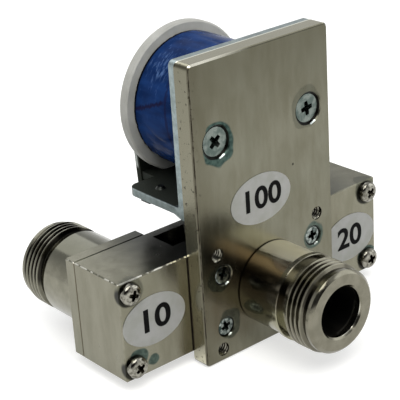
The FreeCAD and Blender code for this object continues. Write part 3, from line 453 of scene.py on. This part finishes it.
def front_tarnish_and_reflections(paint, colour, depth, threaded, groove):
    """Streaks along the front jack: a pale painted highlight on top, then brown that is partly
    tarnish and partly painted reflection, a black painted reflection and an olive one below,
    painted shade between the thread's turns, and dark brown at its base by the plate.
    """
    side, along, up = paint.axes()
    low = side * -0.574 - up * 0.819
    streaks = paint.clouds(1.3, 4.0, 0.65, stretch=(1, 9, 1), shift=4.0) * 3.2 - 1.6
    level = low + streaks
    crown = paint.between(level, -3.9, -5.2) * paint.between(side, 6.2, 4.2)
    crown = crown * paint.between(depth, BARREL_START - 0.4, BARREL_START + 0.2)
    brown = paint.band(level, -4.6, -3.2, -0.6, 1.6)
    brown = brown * paint.between(depth, BARREL_START - 0.2, BARREL_START + 0.3)
    black = paint.band(level, -1.9, -0.3, 2.6, 4.6) * (1 - threaded)
    olive = paint.between(level, 3.6, 4.8) * (1 - threaded)
    turns = paint.band(low + streaks * 0.6, -3.4, -2.2, 1.4, 2.6) * threaded
    turns = turns * paint.between(depth, 0.9, 1.5) * (groove * 0.55 + 0.2)
    # Painted light: a highlight on top, black and olive painted reflections, and painted shade
    # between the turns
    colour = paint.over(
        colour,
        (crown * 0.9, (0.92, 0.87, 0.7)),
        (brown * 0.8, (0.26, 0.19, 0.115)),
        (black * 0.84, (0.085, 0.073, 0.052)),
        (olive * 0.6, (0.33, 0.32, 0.22)),
        (turns, (0.015, 0.013, 0.01)),
        (paint.between(along, -0.45, -0.1) * 0.8, (0.03, 0.02, 0.01)),
    )
    return colour, crown


def rear_painted_shade(paint, colour, haze, threaded, groove):
    """Painted shade: black between the upper turns of a rear jack's thread, and a duller top."""
    up = paint.across(2)
    turns = threaded * paint.between(up + haze * 4, 0.5, 3.4) * (groove * 0.8 + 0.14)
    shaded_top = paint.between(up + haze * 3, 5.6, 8.6) * (1 - threaded)
    return paint.over(colour, (turns, (0.014, 0.013, 0.01)), (shaded_top * 0.7, (0.1, 0.1, 0.078)))


def turned_nickel(name, x, rim, front):
    """Polished nickel with fine turning marks, painted shade, black, inside the jack's mouth, and a
    painted highlight on its lip.
    """
    paint = Paint(name, metallic=1.0)
    haze = paint.clouds(2.2, 3.0)
    dull, bright = FRONT_JACK if front else REAR_JACK
    colour = paint.blend(paint.between(haze, 0.3, 0.7), dull, bright)
    rough = paint.between(haze, 0.2, 0.8) * 0.08 + 0.13

    side, along, up = paint.axes()
    depth = (along - rim) * (1 if front else -1)
    threaded = paint.between(depth, THREAD_END + 0.4, THREAD_END - 0.3)
    spoke = paint.node("CombineXYZ", inputs={0: side - x, 1: 0.0, 2: up})
    away = paint.node("VectorMath", {"operation": "LENGTH"}, {0: spoke}, "Value")
    crest = THREAD_RADIUS / MM
    mouth = MOUTH_RADIUS / MM
    groove = paint.between(away, crest - 0.04, crest - 0.28) * threaded
    groove = groove * paint.between(depth, 1.0, 1.4)
    colour = paint.blend(groove * 0.45, colour, (0.03, 0.027, 0.02))
    if front:
        colour, crown = front_tarnish_and_reflections(paint, colour, depth, threaded, groove)
        rough = rough + crown * 0.25
    else:
        colour = rear_painted_shade(paint, colour, haze, threaded, groove)

    # Painted shade, black, down the mouth, and a painted highlight on the lower right of its lip
    lip = paint.between(side - up, 4.2, 5.6) * paint.between(depth, 1.9, 1.2)
    dark = paint.between(away, mouth + 0.12, mouth - 0.05) * paint.between(depth, 0.5, 1.6)
    dark = dark * (1 - lip)
    lit = lip * paint.between(away, mouth + 0.15, mouth)
    colour = paint.over(colour, (dark, (0.012, 0.012, 0.013)), (lit, (0.6, 0.58, 0.5)))
    paint.set(base_color=colour, roughness=rough + dark * 0.4)
    paint.dent(paint.clouds(0.12, 1.0, stretch=(60, 1, 60)), 0.08, 0.01)
    return paint.material


def zinc(name, bright, dull, rough=0.3, darkened=None):
    """Bluish white zinc plating with a crystalline bloom, and painted shade, near black, where a
    mask says so.
    """
    paint = Paint(name, metallic=1.0)
    bloom = paint.clouds(1.3, 4.0, 0.65)
    grit = paint.clouds(0.25, 3.0)
    colour = paint.blend(paint.between(bloom, 0.35, 0.65), dull, bright)
    rough = paint.between(grit, 0.2, 0.8) * 0.14 + rough
    if darkened:
        shadow = darkened(paint)
        colour = paint.blend(shadow, colour, (0.03, 0.034, 0.027))
        rough = rough + shadow * 0.4
    paint.set(base_color=colour, roughness=rough)
    paint.dent(grit + bloom, 0.35, 0.03)
    return paint.material


def coil_side_shade(paint):
    """Painted shade on the yoke's leg under the coil: dark faces, greyer edges, and none on a
    bright upper rim.
    """
    side, along, up = paint.axes()
    from_side = YOKE_SIDE - paint.absolute(side)
    low = paint.between(up - LEG_TOP, 1.75, 0.25) * paint.between(along - UPRIGHT_BACK, 0.7, 1.5)
    rim = paint.between(LEG_TOP - up, 0.25, 0.13) * paint.between(from_side, 0.2, 0.08)
    return low * (paint.between(from_side, 0.05, 0.3) * 0.72 + 0.25) * (1 - rim)


def hidden_face_shade(paint):
    """Painted shade on the armature's face towards the coil, and on its arm under the yoke."""
    _, along, up = paint.axes()
    from_face = along - up * ARMATURE_LEAN - ARMATURE_FACE
    return paint.between(from_face, 0.7, 0.3).either(paint.between(up - LEG_TOP, 1.25, 0.25))


def plain_metal(name, bright, dull, rough, size=1.0):
    """An unplated or plated metal with faint clouding."""
    paint = Paint(name, metallic=1.0)
    haze = paint.clouds(size, 3.0)
    paint.set(base_color=paint.blend(paint.between(haze, 0.35, 0.65), dull, bright))
    paint.set(roughness=paint.between(haze, 0.2, 0.8) * 0.1 + rough)
    paint.dent(paint.clouds(size * 0.25, 2.0), 0.12)
    return paint.material


def moulding(name, bright, dull, rough, grain=0.3):
    """A matt moulded plastic with a fine grain."""
    paint = Paint(name)
    shade = paint.clouds(4.0, 3.0)
    paint.set(base_color=paint.blend(paint.between(shade, 0.3, 0.7), dull, bright))
    paint.set(roughness=paint.between(paint.clouds(grain), 0.2, 0.8) * 0.12 + rough)
    paint.dent(paint.clouds(grain, 3.0), 0.25)
    return paint.material


def blue_tape():
    """Glossy navy tape with pale streaks, partly stretched whitened tape and partly painted
    highlights, two dark creases in painted shade, and painted shade at both ends.
    """
    paint = Paint("blue_tape", ior=1.07)
    side, along, up = paint.axes()
    up = up - COIL_HEIGHT / MM
    left = paint.between(side, -8, -10)
    stretch = paint.clouds(2.6, 3.0, 0.5, stretch=(1, 2.5, 1))
    folds = paint.clouds(1.1, 3.0, 0.6, stretch=(1, 0.5, 2.2), shift=2.0)
    scuffs_and_highlights = paint.between(folds, 0.6, 0.68) * paint.between(up + stretch * 14, 6, 14)
    crease_highlights = paint.between(folds, 0.6, 0.66) * paint.between(up + stretch * 8, -3, -9)
    highlight_cluster = paint.between(paint.reach((-8.4, 15.8, 38.7)), 4.2, 1.0)
    highlight_cluster = highlight_cluster * paint.between(folds, 0.46, 0.66)
    climb = up + along * 0.346 - 8.6 + folds * 1.4
    climbing = paint.band(climb, -0.6, -0.1, 0.1, 0.5) * paint.between(along, 11.6, 13.2)
    fall = along + folds * 1.6 - up * 0.19 - 11.9
    falling = paint.band(fall, -0.5, -0.1, 0.1, 0.5) * paint.band(up, -6, -2, 5, 9)
    navy = (0.004, 0.0155, 0.066)
    # Painted highlights in pale streaks and a pale patch, and painted shade along two creases and
    # at both ends
    colour = paint.over(
        paint.blend(paint.between(stretch, 0.3, 0.7), navy, (0.01, 0.036, 0.135)),
        (scuffs_and_highlights.either(crease_highlights) * 0.4, (0.05, 0.1, 0.26)),
        (highlight_cluster * 0.6, (0.08, 0.15, 0.32)),
        (climbing.either(falling * 0.7) * left * 0.8, (0.01, 0.006, 0.024)),
        (paint.between(along - TAPE_FRONT, 2.5, 1.5) * 0.8, (0.006, 0.01, 0.02)),
        (paint.between(TAPE_REAR - along, 0.6, 0.42), (0.002, 0.003, 0.006)),
    )
    paint.set(base_color=colour, roughness=paint.between(folds, 0.3, 0.7) * 0.14 + 0.13)
    paint.dent(folds + stretch, 0.3, 0.08)
    return paint.material


def sticker():
    """Pale matt paper with soft blotches."""
    paint = Paint("sticker", specular_ior_level=0.35)
    shade = paint.between(paint.clouds(3.0, 3.0), 0.3, 0.7)
    paint.set(base_color=paint.blend(shade, (0.29, 0.295, 0.27), (0.34, 0.34, 0.33)))
    paint.set(roughness=paint.between(paint.clouds(0.4), 0.2, 0.8) * 0.15 + 0.42)
    paint.dent(paint.clouds(0.3, 2.0), 0.08)
    return paint.material


def ink():
    """Matt black print."""
    paint = Paint("ink", specular_ior_level=0.02)
    shade = paint.clouds(0.6, 2.0)
    paint.set(base_color=paint.blend(shade, (0.003, 0.003, 0.003), (0.008, 0.008, 0.008)))
    paint.set(roughness=shade * 0.1 + 0.35)
    return paint.material


def show(name, shape, material, stands_for=(), body="housing", crease=32):
    """Turns a finished bmesh into a piece that rides on a body."""
    bmesh.ops.remove_doubles(shape, verts=shape.verts, dist=1e-7)
    bmesh.ops.recalc_face_normals(shape, faces=shape.faces)
    mesh = bpy.data.meshes.new(name)
    shape.to_mesh(mesh)
    shape.free()
    return settle(name, mesh, material, stands_for, body, crease)


def settle(name, mesh, material, stands_for=(), body="housing", crease=32):
    """Makes a finished mesh a piece that rides on a body, smooth up to its creases."""
    mesh.materials.clear()
    mesh.materials.append(material)
    mesh.shade_smooth()
    mesh.set_sharp_from_angle(angle=math.radians(crease))
    piece = bpy.data.objects.new(name, mesh)
    bpy.context.scene.collection.objects.link(piece)
    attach(piece, body)
    if stands_for:
        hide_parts(*stands_for)
    return piece


def lathe(shape, outline, x=0.0, z=0.0, steps=ROUND_STEPS):
    """Spins an outline of (y, radius) points about an axis along Y."""
    rim = [shape.verts.new((x + radius, along, z)) for along, radius in outline]
    edges = [shape.edges.new(pair) for pair in zip(rim, rim[1:] + rim[:1])]
    bmesh.ops.spin(
        shape,
        geom=rim + edges,
        cent=(x, 0, z),
        axis=(0, 1, 0),
        angle=math.tau,
        steps=steps,
        use_merge=True,
    )


def thread(shape, x, z, start, turns, root, crest, pitch, steps=72):
    """Winds a ridge round an axis along Y; its ends fade into the root."""
    half = pitch * 0.47
    flat = pitch * 0.09
    sink = (root - crest) * 0.15
    run_out = pitch * 0.3
    outline = [(-half, root + sink), (-flat, crest), (flat, crest), (half, root + sink)]
    section = [shape.verts.new((x + radius, start + along, z)) for along, radius in outline]
    face = shape.faces.new(section)
    before = set(shape.verts) - set(section)
    bmesh.ops.spin(
        shape,
        geom=[face, *face.edges, *section],
        cent=(x, 0, z),
        axis=(0, 1, 0),
        dvec=(0, pitch / steps, 0),
        angle=math.tau * turns,
        steps=int(steps * turns),
    )
    end = start + pitch * turns
    for vert in set(shape.verts) - before:
        margin = min(vert.co.y - start, end - vert.co.y) / run_out
        ease = min(max(margin, 0.0), 1.0)
        flat_place = Vector((vert.co.x - x, 0, vert.co.z - z))
        radius = flat_place.length
        outside = (radius - root) * (crest - root) > 0
        if outside and ease < 1:
            scale = (root + (radius - root) * ease) / radius
            vert.co.x = x + flat_place.x * scale
            vert.co.z = z + flat_place.z * scale


def jack_outline(start, rim, barrel, ringed):
    """A jack's section from where it starts to the rim and back down its bore."""
    way = 1 if rim > start else -1
    nose = rim - way * NOSE_LONG
    relief = nose - way * (THREAD_LONG + RELIEF_LONG)
    soft = 0.12 * MM
    outline = [(start, BEAD_RADIUS), (start, barrel)]
    if ringed:
        ring = relief - way * RING_LONG
        outline += [
            (ring, barrel),
            (ring, THREAD_RADIUS - soft),
            (ring + way * soft, THREAD_RADIUS),
            (relief - way * soft, THREAD_RADIUS),
            (relief, THREAD_RADIUS - soft),
        ]
    else:
        outline += [(relief - way * soft, barrel), (relief, barrel - soft)]
    outline += [
        (relief, RELIEF_RADIUS),
        (relief + way * RELIEF_LONG, RELIEF_RADIUS),
        (relief + way * RELIEF_LONG, THREAD_ROOT),
        (nose - way * 0.45 * MM, THREAD_ROOT),
        (nose - way * 0.1 * MM, NOSE_RADIUS - soft),
        (nose, NOSE_RADIUS),
        (rim - way * 0.55 * MM, NOSE_RADIUS),
        (rim - way * 0.25 * MM, NOSE_RADIUS - 0.25 * MM),
        (rim, RIM_RADIUS),
        (rim, MOUTH_RADIUS + MOUTH_CHAMFER),
        (rim - way * MOUTH_CHAMFER, MOUTH_RADIUS),
        (rim - way * MOUTH_DEPTH, MOUTH_RADIUS),
        (rim - way * MOUTH_DEPTH, BEAD_RADIUS),
    ]
    return outline


def front_jack(material):
    shape = bmesh.new()
    seam = 0.15 * MM
    outline = jack_outline(front_face, com_rim, FRONT_BARREL, ringed=True)
    outline[1:2] = [(front_face, FRONT_BARREL - seam), (front_face - seam, FRONT_BARREL)]
    lathe(shape, outline)
    start = com_rim + NOSE_LONG + 0.62 * MM
    thread(shape, 0, 0, start, 4.4, THREAD_ROOT, THREAD_RADIUS, THREAD_PITCH)
    show("com_jack_turned", shape, material, ["com_jack"])


def rear_jack(side, node, material, flange_material):
    x = side * rear_axis
    shape = bmesh.new()
    lathe(shape, jack_outline(flange_rear - 0.5 * MM, rear_rim, REAR_BARREL, ringed=False), x)
    start = rear_rim - NOSE_LONG - THREAD_LONG + 0.25 * MM
    thread(shape, x, 0, start, 4.4, THREAD_ROOT, THREAD_RADIUS, THREAD_PITCH)
    show(f"{node}_turned", shape, material, [node])

    flange = bmesh.new()
    flange.from_mesh(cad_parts[node].data)
    bmesh.ops.remove_doubles(flange, verts=flange.verts, dist=1e-6)
    bmesh.ops.bisect_plane(
        flange,
        geom=[*flange.verts, *flange.edges, *flange.faces],
        plane_co=(0, flange_rear + 0.01 * MM, 0),
        plane_no=(0, 1, 0),
        clear_outer=True,
    )
    show(f"{node}_flange", flange, flange_material, crease=20)


def cross(shape, middle, facing, radius, depth, twist):
    """A tapered cross-shaped punch that sinks into a screw's head."""
    arm = radius * 0.36
    turn = facing @ Matrix.Rotation(math.radians(twist), 4, "Z")
    corners = []
    for quarter in range(4):
        quarter_turn = Matrix.Rotation(quarter * math.pi / 2, 4, "Z")
        for spot in ((arm * 0.8, radius), (-arm * 0.8, radius), (-arm, arm)):
            corners.append(quarter_turn @ Vector((*spot, depth * 0.6)))
    top = shape.faces.new([shape.verts.new(corner) for corner in corners])
    wall = bmesh.ops.extrude_face_region(shape, geom=[top])["geom"]
    bottom = [part for part in wall if isinstance(part, bmesh.types.BMVert)]
    bmesh.ops.scale(shape, verts=bottom, vec=(0.55, 0.55, 1))
    bmesh.ops.translate(shape, verts=bottom, vec=(0, 0, -depth * 1.6))
    move = Matrix.Translation(middle) @ turn
    bmesh.ops.transform(shape, verts=[*bottom, *top.verts], matrix=move)


def carve(piece, cutter):
    """Cuts one closed shape out of another and keeps the result as its mesh."""
    cut = piece.modifiers.new("carve", "BOOLEAN")
    cut.object = cutter
    cut.solver = "EXACT"
    bpy.context.view_layer.update()
    solid = piece.evaluated_get(bpy.context.evaluated_depsgraph_get())
    carved = bpy.data.meshes.new_from_object(solid)
    for unused in (piece, cutter):
        bpy.data.objects.remove(unused)
    return carved


def loose_object(name, shape):
    bmesh.ops.recalc_face_normals(shape, faces=shape.faces)
    mesh = bpy.data.meshes.new(name)
    shape.to_mesh(mesh)
    shape.free()
    loose = bpy.data.objects.new(name, mesh)
    bpy.context.scene.collection.objects.link(loose)
    return loose


def screws(name, node, spots, outline, recess, depth, facing, material):
    """Cross-recess screws: a head outline of (height, radius), turned to face outwards."""
    heads = bmesh.new()
    punches = bmesh.new()
    top = max(height for height, _ in outline)
    for place, twist in spots:
        move = Matrix.Translation(place) @ facing
        rim = [heads.verts.new((radius, 0, height)) for height, radius in outline]
        edges = [heads.edges.new(pair) for pair in zip(rim, rim[1:])]
        bmesh.ops.spin(
            heads,
            geom=rim + edges,
            cent=(0, 0, 0),
            axis=(0, 0, 1),
            angle=math.tau,
            steps=40,
            use_merge=True,
        )
        fresh = [vert for vert in heads.verts if vert.tag is False]
        bmesh.ops.transform(heads, verts=fresh, matrix=move)
        for vert in fresh:
            vert.tag = True
        cross(punches, place + facing @ Vector((0, 0, top)), facing, recess, depth, twist)
    bmesh.ops.remove_doubles(heads, verts=heads.verts, dist=1e-7)
    carved = carve(loose_object("heads", heads), loose_object("punches", punches))
    carved.name = name
    settle(name, carved, material, [node])


def countersunk(radius, shank, deep):
    """A flush head with a soft upper rim, down to its shank."""
    slope = radius - shank
    return [
        (-deep, 0.0),
        (-deep, shank),
        (-slope - 0.15 * MM, shank),
        (-0.15 * MM, radius),
        (-0.03 * MM, radius - 0.04 * MM),
        (0.0, radius - 0.14 * MM),
        (0.0, 0.0),
    ]


def pan(radius, shank, deep, height):
    """A domed head: an upright side that rolls over into a low crown."""
    outline = [(-deep, 0.0), (-deep, shank), (0.0, shank), (0.0, radius)]
    side = height * 0.32
    outline.append((side, radius))
    for step in range(1, 9):
        angle = step / 9 * math.pi / 2
        outline.append((side + (height - side) * math.sin(angle), radius * math.cos(angle) ** 0.62))
    outline.append((height, 0.0))
    return outline


def make_screws():
    forward = Matrix.Rotation(math.pi / 2, 4, "X")
    backward = Matrix.Rotation(-math.pi / 2, 4, "X")
    downward = Matrix.Rotation(math.pi, 4, "X")
    yoke_steel = plain_metal("screw_face", (0.18, 0.205, 0.187), (0.08, 0.105, 0.095), 0.2, 1.3)
    lacquered = plain_metal("lacquered_screw", (0.3, 0.33, 0.31), (0.03, 0.045, 0.04), 0.13, 0.8)
    chrome = plain_metal("bright_screw_steel", (0.3, 0.29, 0.25), (0.11, 0.105, 0.085), 0.1, 0.6)
    sunk = 0.02 * MM

    def in_face(places, depth):
        """Places on a front face, at a depth behind the plate's front."""
        return [(Vector((x * MM, depth, z * MM)), twist) for x, z, twist in places]

    flange_spots = [
        (Vector((x * MM, flange_rear - sunk, z * MM)), 20 * z)
        for x in (-16.4, 16.4)
        for z in (-7.3, 7.3)
    ]
    cover_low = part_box("bottom_cover")[0].z + sunk
    cover_spots = [
        (Vector((x * MM, y * MM, cover_low)), 15 * y) for x in (-25.5, 25.5) for y in (6.6, 13.4)
    ]
    # Node, places, head, recess radius and depth, direction and finish
    kinds = [
        (
            "yoke_screws",
            in_face(YOKE_SCREWS, 0.42 * MM),
            countersunk(YOKE_HEAD * MM, 1.5 * MM, 2.5 * MM),
            (1.55 * MM, 1.5 * MM),
            forward,
            yoke_steel,
        ),
        (
            "plate_screws",
            in_face(PLATE_SCREWS, 0.26 * MM),
            countersunk(PLATE_HEAD * MM, 1.0 * MM, 2 * MM),
            (1.2 * MM, 1.1 * MM),
            forward,
            lacquered,
        ),
        (
            "block_screws",
            in_face(BLOCK_SCREWS, block_front),
            pan(2.0 * MM, 1.0 * MM, 2 * MM, 1.3 * MM),
            (1.2 * MM, 1.1 * MM),
            forward,
            chrome,
        ),
        (
            "flange_screws",
            flange_spots,
            countersunk(0.97 * MM, 0.65 * MM, 2 * MM),
            (0.55 * MM, 0.4 * MM),
            backward,
            chrome,
        ),
        (
            "bottom_cover_screws",
            cover_spots,
            countersunk(1.12 * MM, 0.65 * MM, 2 * MM),
            (0.6 * MM, 0.45 * MM),
            downward,
            chrome,
        ),
    ]
    for node, places, outline, recess, facing, steel in kinds:
        name = f"{node}_cut".replace("bottom_", "")
        screws(name, node, places, outline, *recess, facing, steel)


def tapped_holes(material):
    """Cut threads inside the plate's four open holes."""
    shape = bmesh.new()
    start = front_face + 0.35 * MM
    bore, crest, pitch = 1.27 * MM, 1.0 * MM, 0.5 * MM
    for x, z in PORT_HOLES:
        thread(shape, x * MM, z * MM, start, 5.6, bore, crest, pitch, steps=28)
    show("tapped_threads", shape, material)


def tape_sleeve(material):
    """Wound tape: its surface pulls into creases low down and by the flanges."""
    low, high = (corner.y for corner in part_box("tape_wrap"))
    rings = 36
    shape = bmesh.new()
    outline = [(low + (high - low) * ring / rings, TAPE_RADIUS) for ring in range(rings + 1)]
    outline = [(low, TAPE_RADIUS - TAPE_DIP), *outline, (high, TAPE_RADIUS - TAPE_DIP)]
    lathe(shape, outline, 0, COIL_HEIGHT, steps=240)
    for vert in shape.verts:
        arm = Vector((vert.co.x, 0, vert.co.z - COIL_HEIGHT))
        if arm.length < TAPE_RADIUS - 0.1 * MM:
            continue
        around = math.atan2(arm.z, arm.x)
        along = (vert.co.y - low) / (high - low)
        bottom = max(0.0, -math.sin(around) - 0.15)
        slant = around * 9 + along * 5
        crease = abs(noise.noise(Vector((slant, along * 3.5, 0.3))))
        pucker = abs(noise.noise(Vector((around * 16, along * 1.2, 4.0))))
        swell = noise.noise(Vector((math.cos(around) * 1.6, along * 1.8, math.sin(around) * 1.6)))
        off_fold = around + math.pi * 0.93 + 0.09 * math.sin(along * 9)
        fold = math.exp(-((off_fold / 0.035) ** 2))
        lift = -0.62 * crease * bottom - 0.10 * pucker + 0.12 * swell - 0.14 * fold
        lift = min(lift, 0.0) - 0.18 * (1 - along) ** 6 - 0.08 * along**10
        vert.co += arm.normalized() * (lift * MM)
    show("tape_wound", shape, material, ["tape_wrap"], crease=60)


def return_springs(material):
    """Wound springs, each a merged copy of its CAD node with a mesh of its own."""
    for side in ("no", "nc"):
        node = f"{side}_return_spring"
        coil = bmesh.new()
        coil.from_mesh(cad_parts[node].data)
        bmesh.ops.remove_doubles(coil, verts=coil.verts, dist=1e-6)
        piece = show(f"{side}_spring_wound", coil, material, [node])
        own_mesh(piece)


def numbers(name, text, label, size, material, wide=1.0):
    """Plain figures on an oval sticker."""
    low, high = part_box(label)
    writing = bpy.data.curves.new(name, "FONT")
    writing.body = text
    writing.size = size * MM
    writing.align_x = "CENTER"
    writing.align_y = "CENTER"
    writing.offset = 0.026 * size * MM
    writing.extrude = 0.012 * MM
    writing.resolution_u = 6
    loose = bpy.data.objects.new(name, writing)
    bpy.context.scene.collection.objects.link(loose)
    bpy.context.view_layer.update()
    mesh = bpy.data.meshes.new_from_object(loose)
    bpy.data.objects.remove(loose)
    middle = (low + high) / 2
    middle.y = low.y - 0.008 * MM
    stand = Matrix.Rotation(math.pi / 2, 4, "X") @ Matrix.Diagonal((wide, 1, 1, 1))
    mesh.transform(Matrix.Translation(middle) @ stand)
    settle(name, mesh, material)


def dress(material, *nodes):
    """Gives CAD nodes a finish in their own material slots."""
    for node in nodes:
        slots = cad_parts[node].material_slots
        if not slots:
            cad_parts[node].data.materials.append(material)
        for slot in slots:
            slot.material = material


def dress_solids():
    """Finishes for the CAD nodes that no new piece replaces."""
    finishes = [
        (zinc("yoke_zinc", (0.29, 0.345, 0.35), (0.2, 0.24, 0.24), 0.3, coil_side_shade), ["yoke"]),
        (
            zinc("armature_zinc", (0.3, 0.32, 0.31), (0.2, 0.215, 0.2), 0.3, hidden_face_shade),
            ["armature"],
        ),
        (zinc("core_iron", (0.3, 0.3, 0.29), (0.2, 0.2, 0.19), 0.35), ["core"]),
        (moulding("bobbin_grey", (0.4, 0.4, 0.375), (0.33, 0.33, 0.305), 0.5), ["bobbin"]),
        (
            moulding("waxy_white", (0.72, 0.71, 0.68), (0.62, 0.61, 0.57), 0.35),
            ["no_pusher", "nc_pusher"],
        ),
        (
            moulding("smoked_bead", (0.03, 0.028, 0.026), (0.018, 0.017, 0.016), 0.45),
            ["com_insulator", "no_insulator", "nc_insulator"],
        ),
        (moulding("dark_bar", (0.05, 0.045, 0.04), (0.03, 0.028, 0.025), 0.4), ["crossbar"]),
        (
            plain_metal("tarnished_silver", (0.1, 0.085, 0.065), (0.045, 0.038, 0.03), 0.25),
            ["com_contact", "no_contact", "nc_contact"],
        ),
        (plain_metal("tinned", (0.45, 0.44, 0.42), (0.3, 0.3, 0.28), 0.22), ["coil_terminals"]),
        # Painted shade: the rivet under the coil is given a dark colour
        (
            plain_metal("shaded_rivet", (0.05, 0.055, 0.05), (0.02, 0.022, 0.02), 0.35),
            ["spring_rivets"],
        ),
        (
            plain_metal("spring_copper", (0.5, 0.33, 0.18), (0.36, 0.23, 0.12), 0.22),
            ["no_reed", "nc_reed", "residual_pad"],
        ),
        (
            plain_metal("blued_steel", (0.07, 0.075, 0.075), (0.03, 0.03, 0.03), 0.25),
            ["armature_spring"],
        ),
        (plain_metal("copper_wire", (0.55, 0.25, 0.12), (0.4, 0.17, 0.08), 0.25, 0.4), ["winding"]),
        (sticker(), ["com_label", "no_label", "nc_label"]),
    ]
    for material, nodes in finishes:
        dress(material, *nodes)


def soft_box(name, place, aim, size, watts, colour=(1, 1, 1)):
    lamp = bpy.data.lights.new(name, "AREA")
    lamp.shape = "RECTANGLE"
    lamp.size, lamp.size_y = size
    lamp.energy = watts
    lamp.color = colour
    stand = bpy.data.objects.new(name, lamp)
    bpy.context.scene.collection.objects.link(stand)
    stand.location = place
    stand.rotation_euler = (Vector(aim) - Vector(place)).to_track_quat("-Z", "Y").to_euler()


def camera():
    """The photograph's viewpoint, with its slight roll."""
    heading, tilt, roll = (math.radians(angle) for angle in (38.7645, -23.5583, -3.9086))
    focal_pixels = 1364.6
    picture_pixels = 400
    eye = bpy.data.cameras.new("camera")
    eye.sensor_width = 36
    eye.lens = focal_pixels / picture_pixels * eye.sensor_width
    eye.clip_start = 0.01
    stand = bpy.data.objects.new("camera", eye)
    bpy.context.scene.collection.objects.link(stand)
    stand.location = (-144.25 * MM, -161.16 * MM, 110.60 * MM)
    look = Vector(
        (math.sin(heading) * math.cos(tilt), math.cos(heading) * math.cos(tilt), math.sin(tilt))
    )
    turn = look.to_track_quat("-Z", "Y").to_matrix() @ Matrix.Rotation(roll, 3, "Z")
    stand.rotation_euler = turn.to_euler()
    bpy.context.scene.camera = stand


def stage():
    """White paper floor and a room that is pale overhead and dim behind the camera."""
    scene = bpy.context.scene
    scene.view_settings.view_transform = "Standard"
    shape = bmesh.new()
    bmesh.ops.create_grid(shape, x_segments=1, y_segments=1, size=3.0)
    bmesh.ops.translate(shape, verts=shape.verts, vec=(0, 0, solid_box[0][2] - 0.02 * MM))
    mesh = bpy.data.meshes.new("floor")
    shape.to_mesh(mesh)
    shape.free()
    floor = bpy.data.objects.new("floor", mesh)
    scene.collection.objects.link(floor)

    material = bpy.data.materials.new("floor_paper")
    material.use_nodes = True
    paper = Tree(material.node_tree)
    glow = paper.node("Emission", inputs={"Strength": backdrop_rays(paper) * 0.55})
    matt = paper.node("BsdfDiffuse", inputs={"Color": (0.6, 0.6, 0.59, 1)})
    both = paper.node("AddShader", inputs={0: matt, 1: glow})
    out = material.node_tree.nodes["Material Output"]
    paper.feed(out.inputs["Surface"], both)
    mesh.materials.append(material)

    world = bpy.data.worlds.new("room")
    world.use_nodes = True
    scene.world = world
    room = Tree(world.node_tree)
    towards = room.node("TexCoord", output="Generated")
    height = room.node("SeparateXYZ", inputs={0: towards}, output=2)
    overhead = [
        (0.0, (1, 1, 1)),
        (0.16, (0.95, 0.95, 0.94)),
        (0.5, (0.6, 0.61, 0.61)),
        (1.0, (0.8, 0.81, 0.82)),
    ]
    backdrop = room.node("ValToRGB", {"stops": overhead}, {0: height})
    dim_side = (-0.52, -0.67, 0.53)
    inputs = {0: towards, 1: dim_side}
    facing = room.node("VectorMath", {"operation": "DOT_PRODUCT"}, inputs, "Value")
    dim = room.between(facing, 0.66, 0.86) * room.between(height, 0.1, 0.17)
    backdrop = room.blend(dim * 0.96, backdrop, (0.015, 0.015, 0.015))
    soft = [(0.0, (0.4, 0.4, 0.39)), (1.0, (0.7, 0.71, 0.73))]
    plain = room.node("ValToRGB", {"stops": soft}, {0: height})
    colour = room.blend(backdrop_rays(room), plain, backdrop)
    room.feed(world.node_tree.nodes["Background"].inputs["Color"], colour)


def backdrop_rays(tree):
    """1 for what is seen directly or in metal and glass, and 0 for what lights the object."""
    kinds = ("Camera", "Glossy", "Transmission")
    camera_ray, glossy, through = (
        tree.node("LightPath", output=f"Is {kind} Ray") for kind in kinds
    )
    return camera_ray.either(glossy).either(through)


def lights():
    """A large key from above the front left, a fill from the right and one from behind."""
    soft_box("key", (-0.14, -0.2, 0.44), (0, 0, 0.01), (0.42, 0.34), 1.9, (1, 0.985, 0.95))
    soft_box("fill", (0.42, -0.30, 0.22), (0, 0, 0), (0.45, 0.4), 0.8, (0.96, 0.98, 1))
    soft_box("back", (0.05, 0.42, 0.4), (0, 0, 0.01), (0.45, 0.4), 0.7)


make_screws()
front_jack(turned_nickel("front_jack_nickel", 0, com_rim / MM, True))
block_finish = block_nickel()
plate_finish = plate_nickel()
for side, node in ((-1, "no_jack"), (1, "nc_jack")):
    turned = turned_nickel(f"{node}_nickel", side * rear_axis / MM, rear_rim / MM, False)
    rear_jack(side, node, turned, block_finish)
tapped_holes(plain_metal("cut_thread", (0.25, 0.24, 0.2), (0.12, 0.115, 0.09), 0.12))
tape_sleeve(blue_tape())
return_springs(plain_metal("spring_steel", (0.5, 0.5, 0.5), (0.4, 0.4, 0.4), 0.2, 0.5))
black = ink()
numbers("com_numbers", "100", "com_label", 5.6, black, 1.12)
numbers("no_numbers", "10", "no_label", 5.9, black, 1.2)
numbers("nc_numbers", "20", "nc_label", 5.9, black, 1.1)
dress(plate_finish, "front_plate")
dress(block_finish, "rf_body", "bottom_cover")
dress_solids()
camera()
stage()
lights()
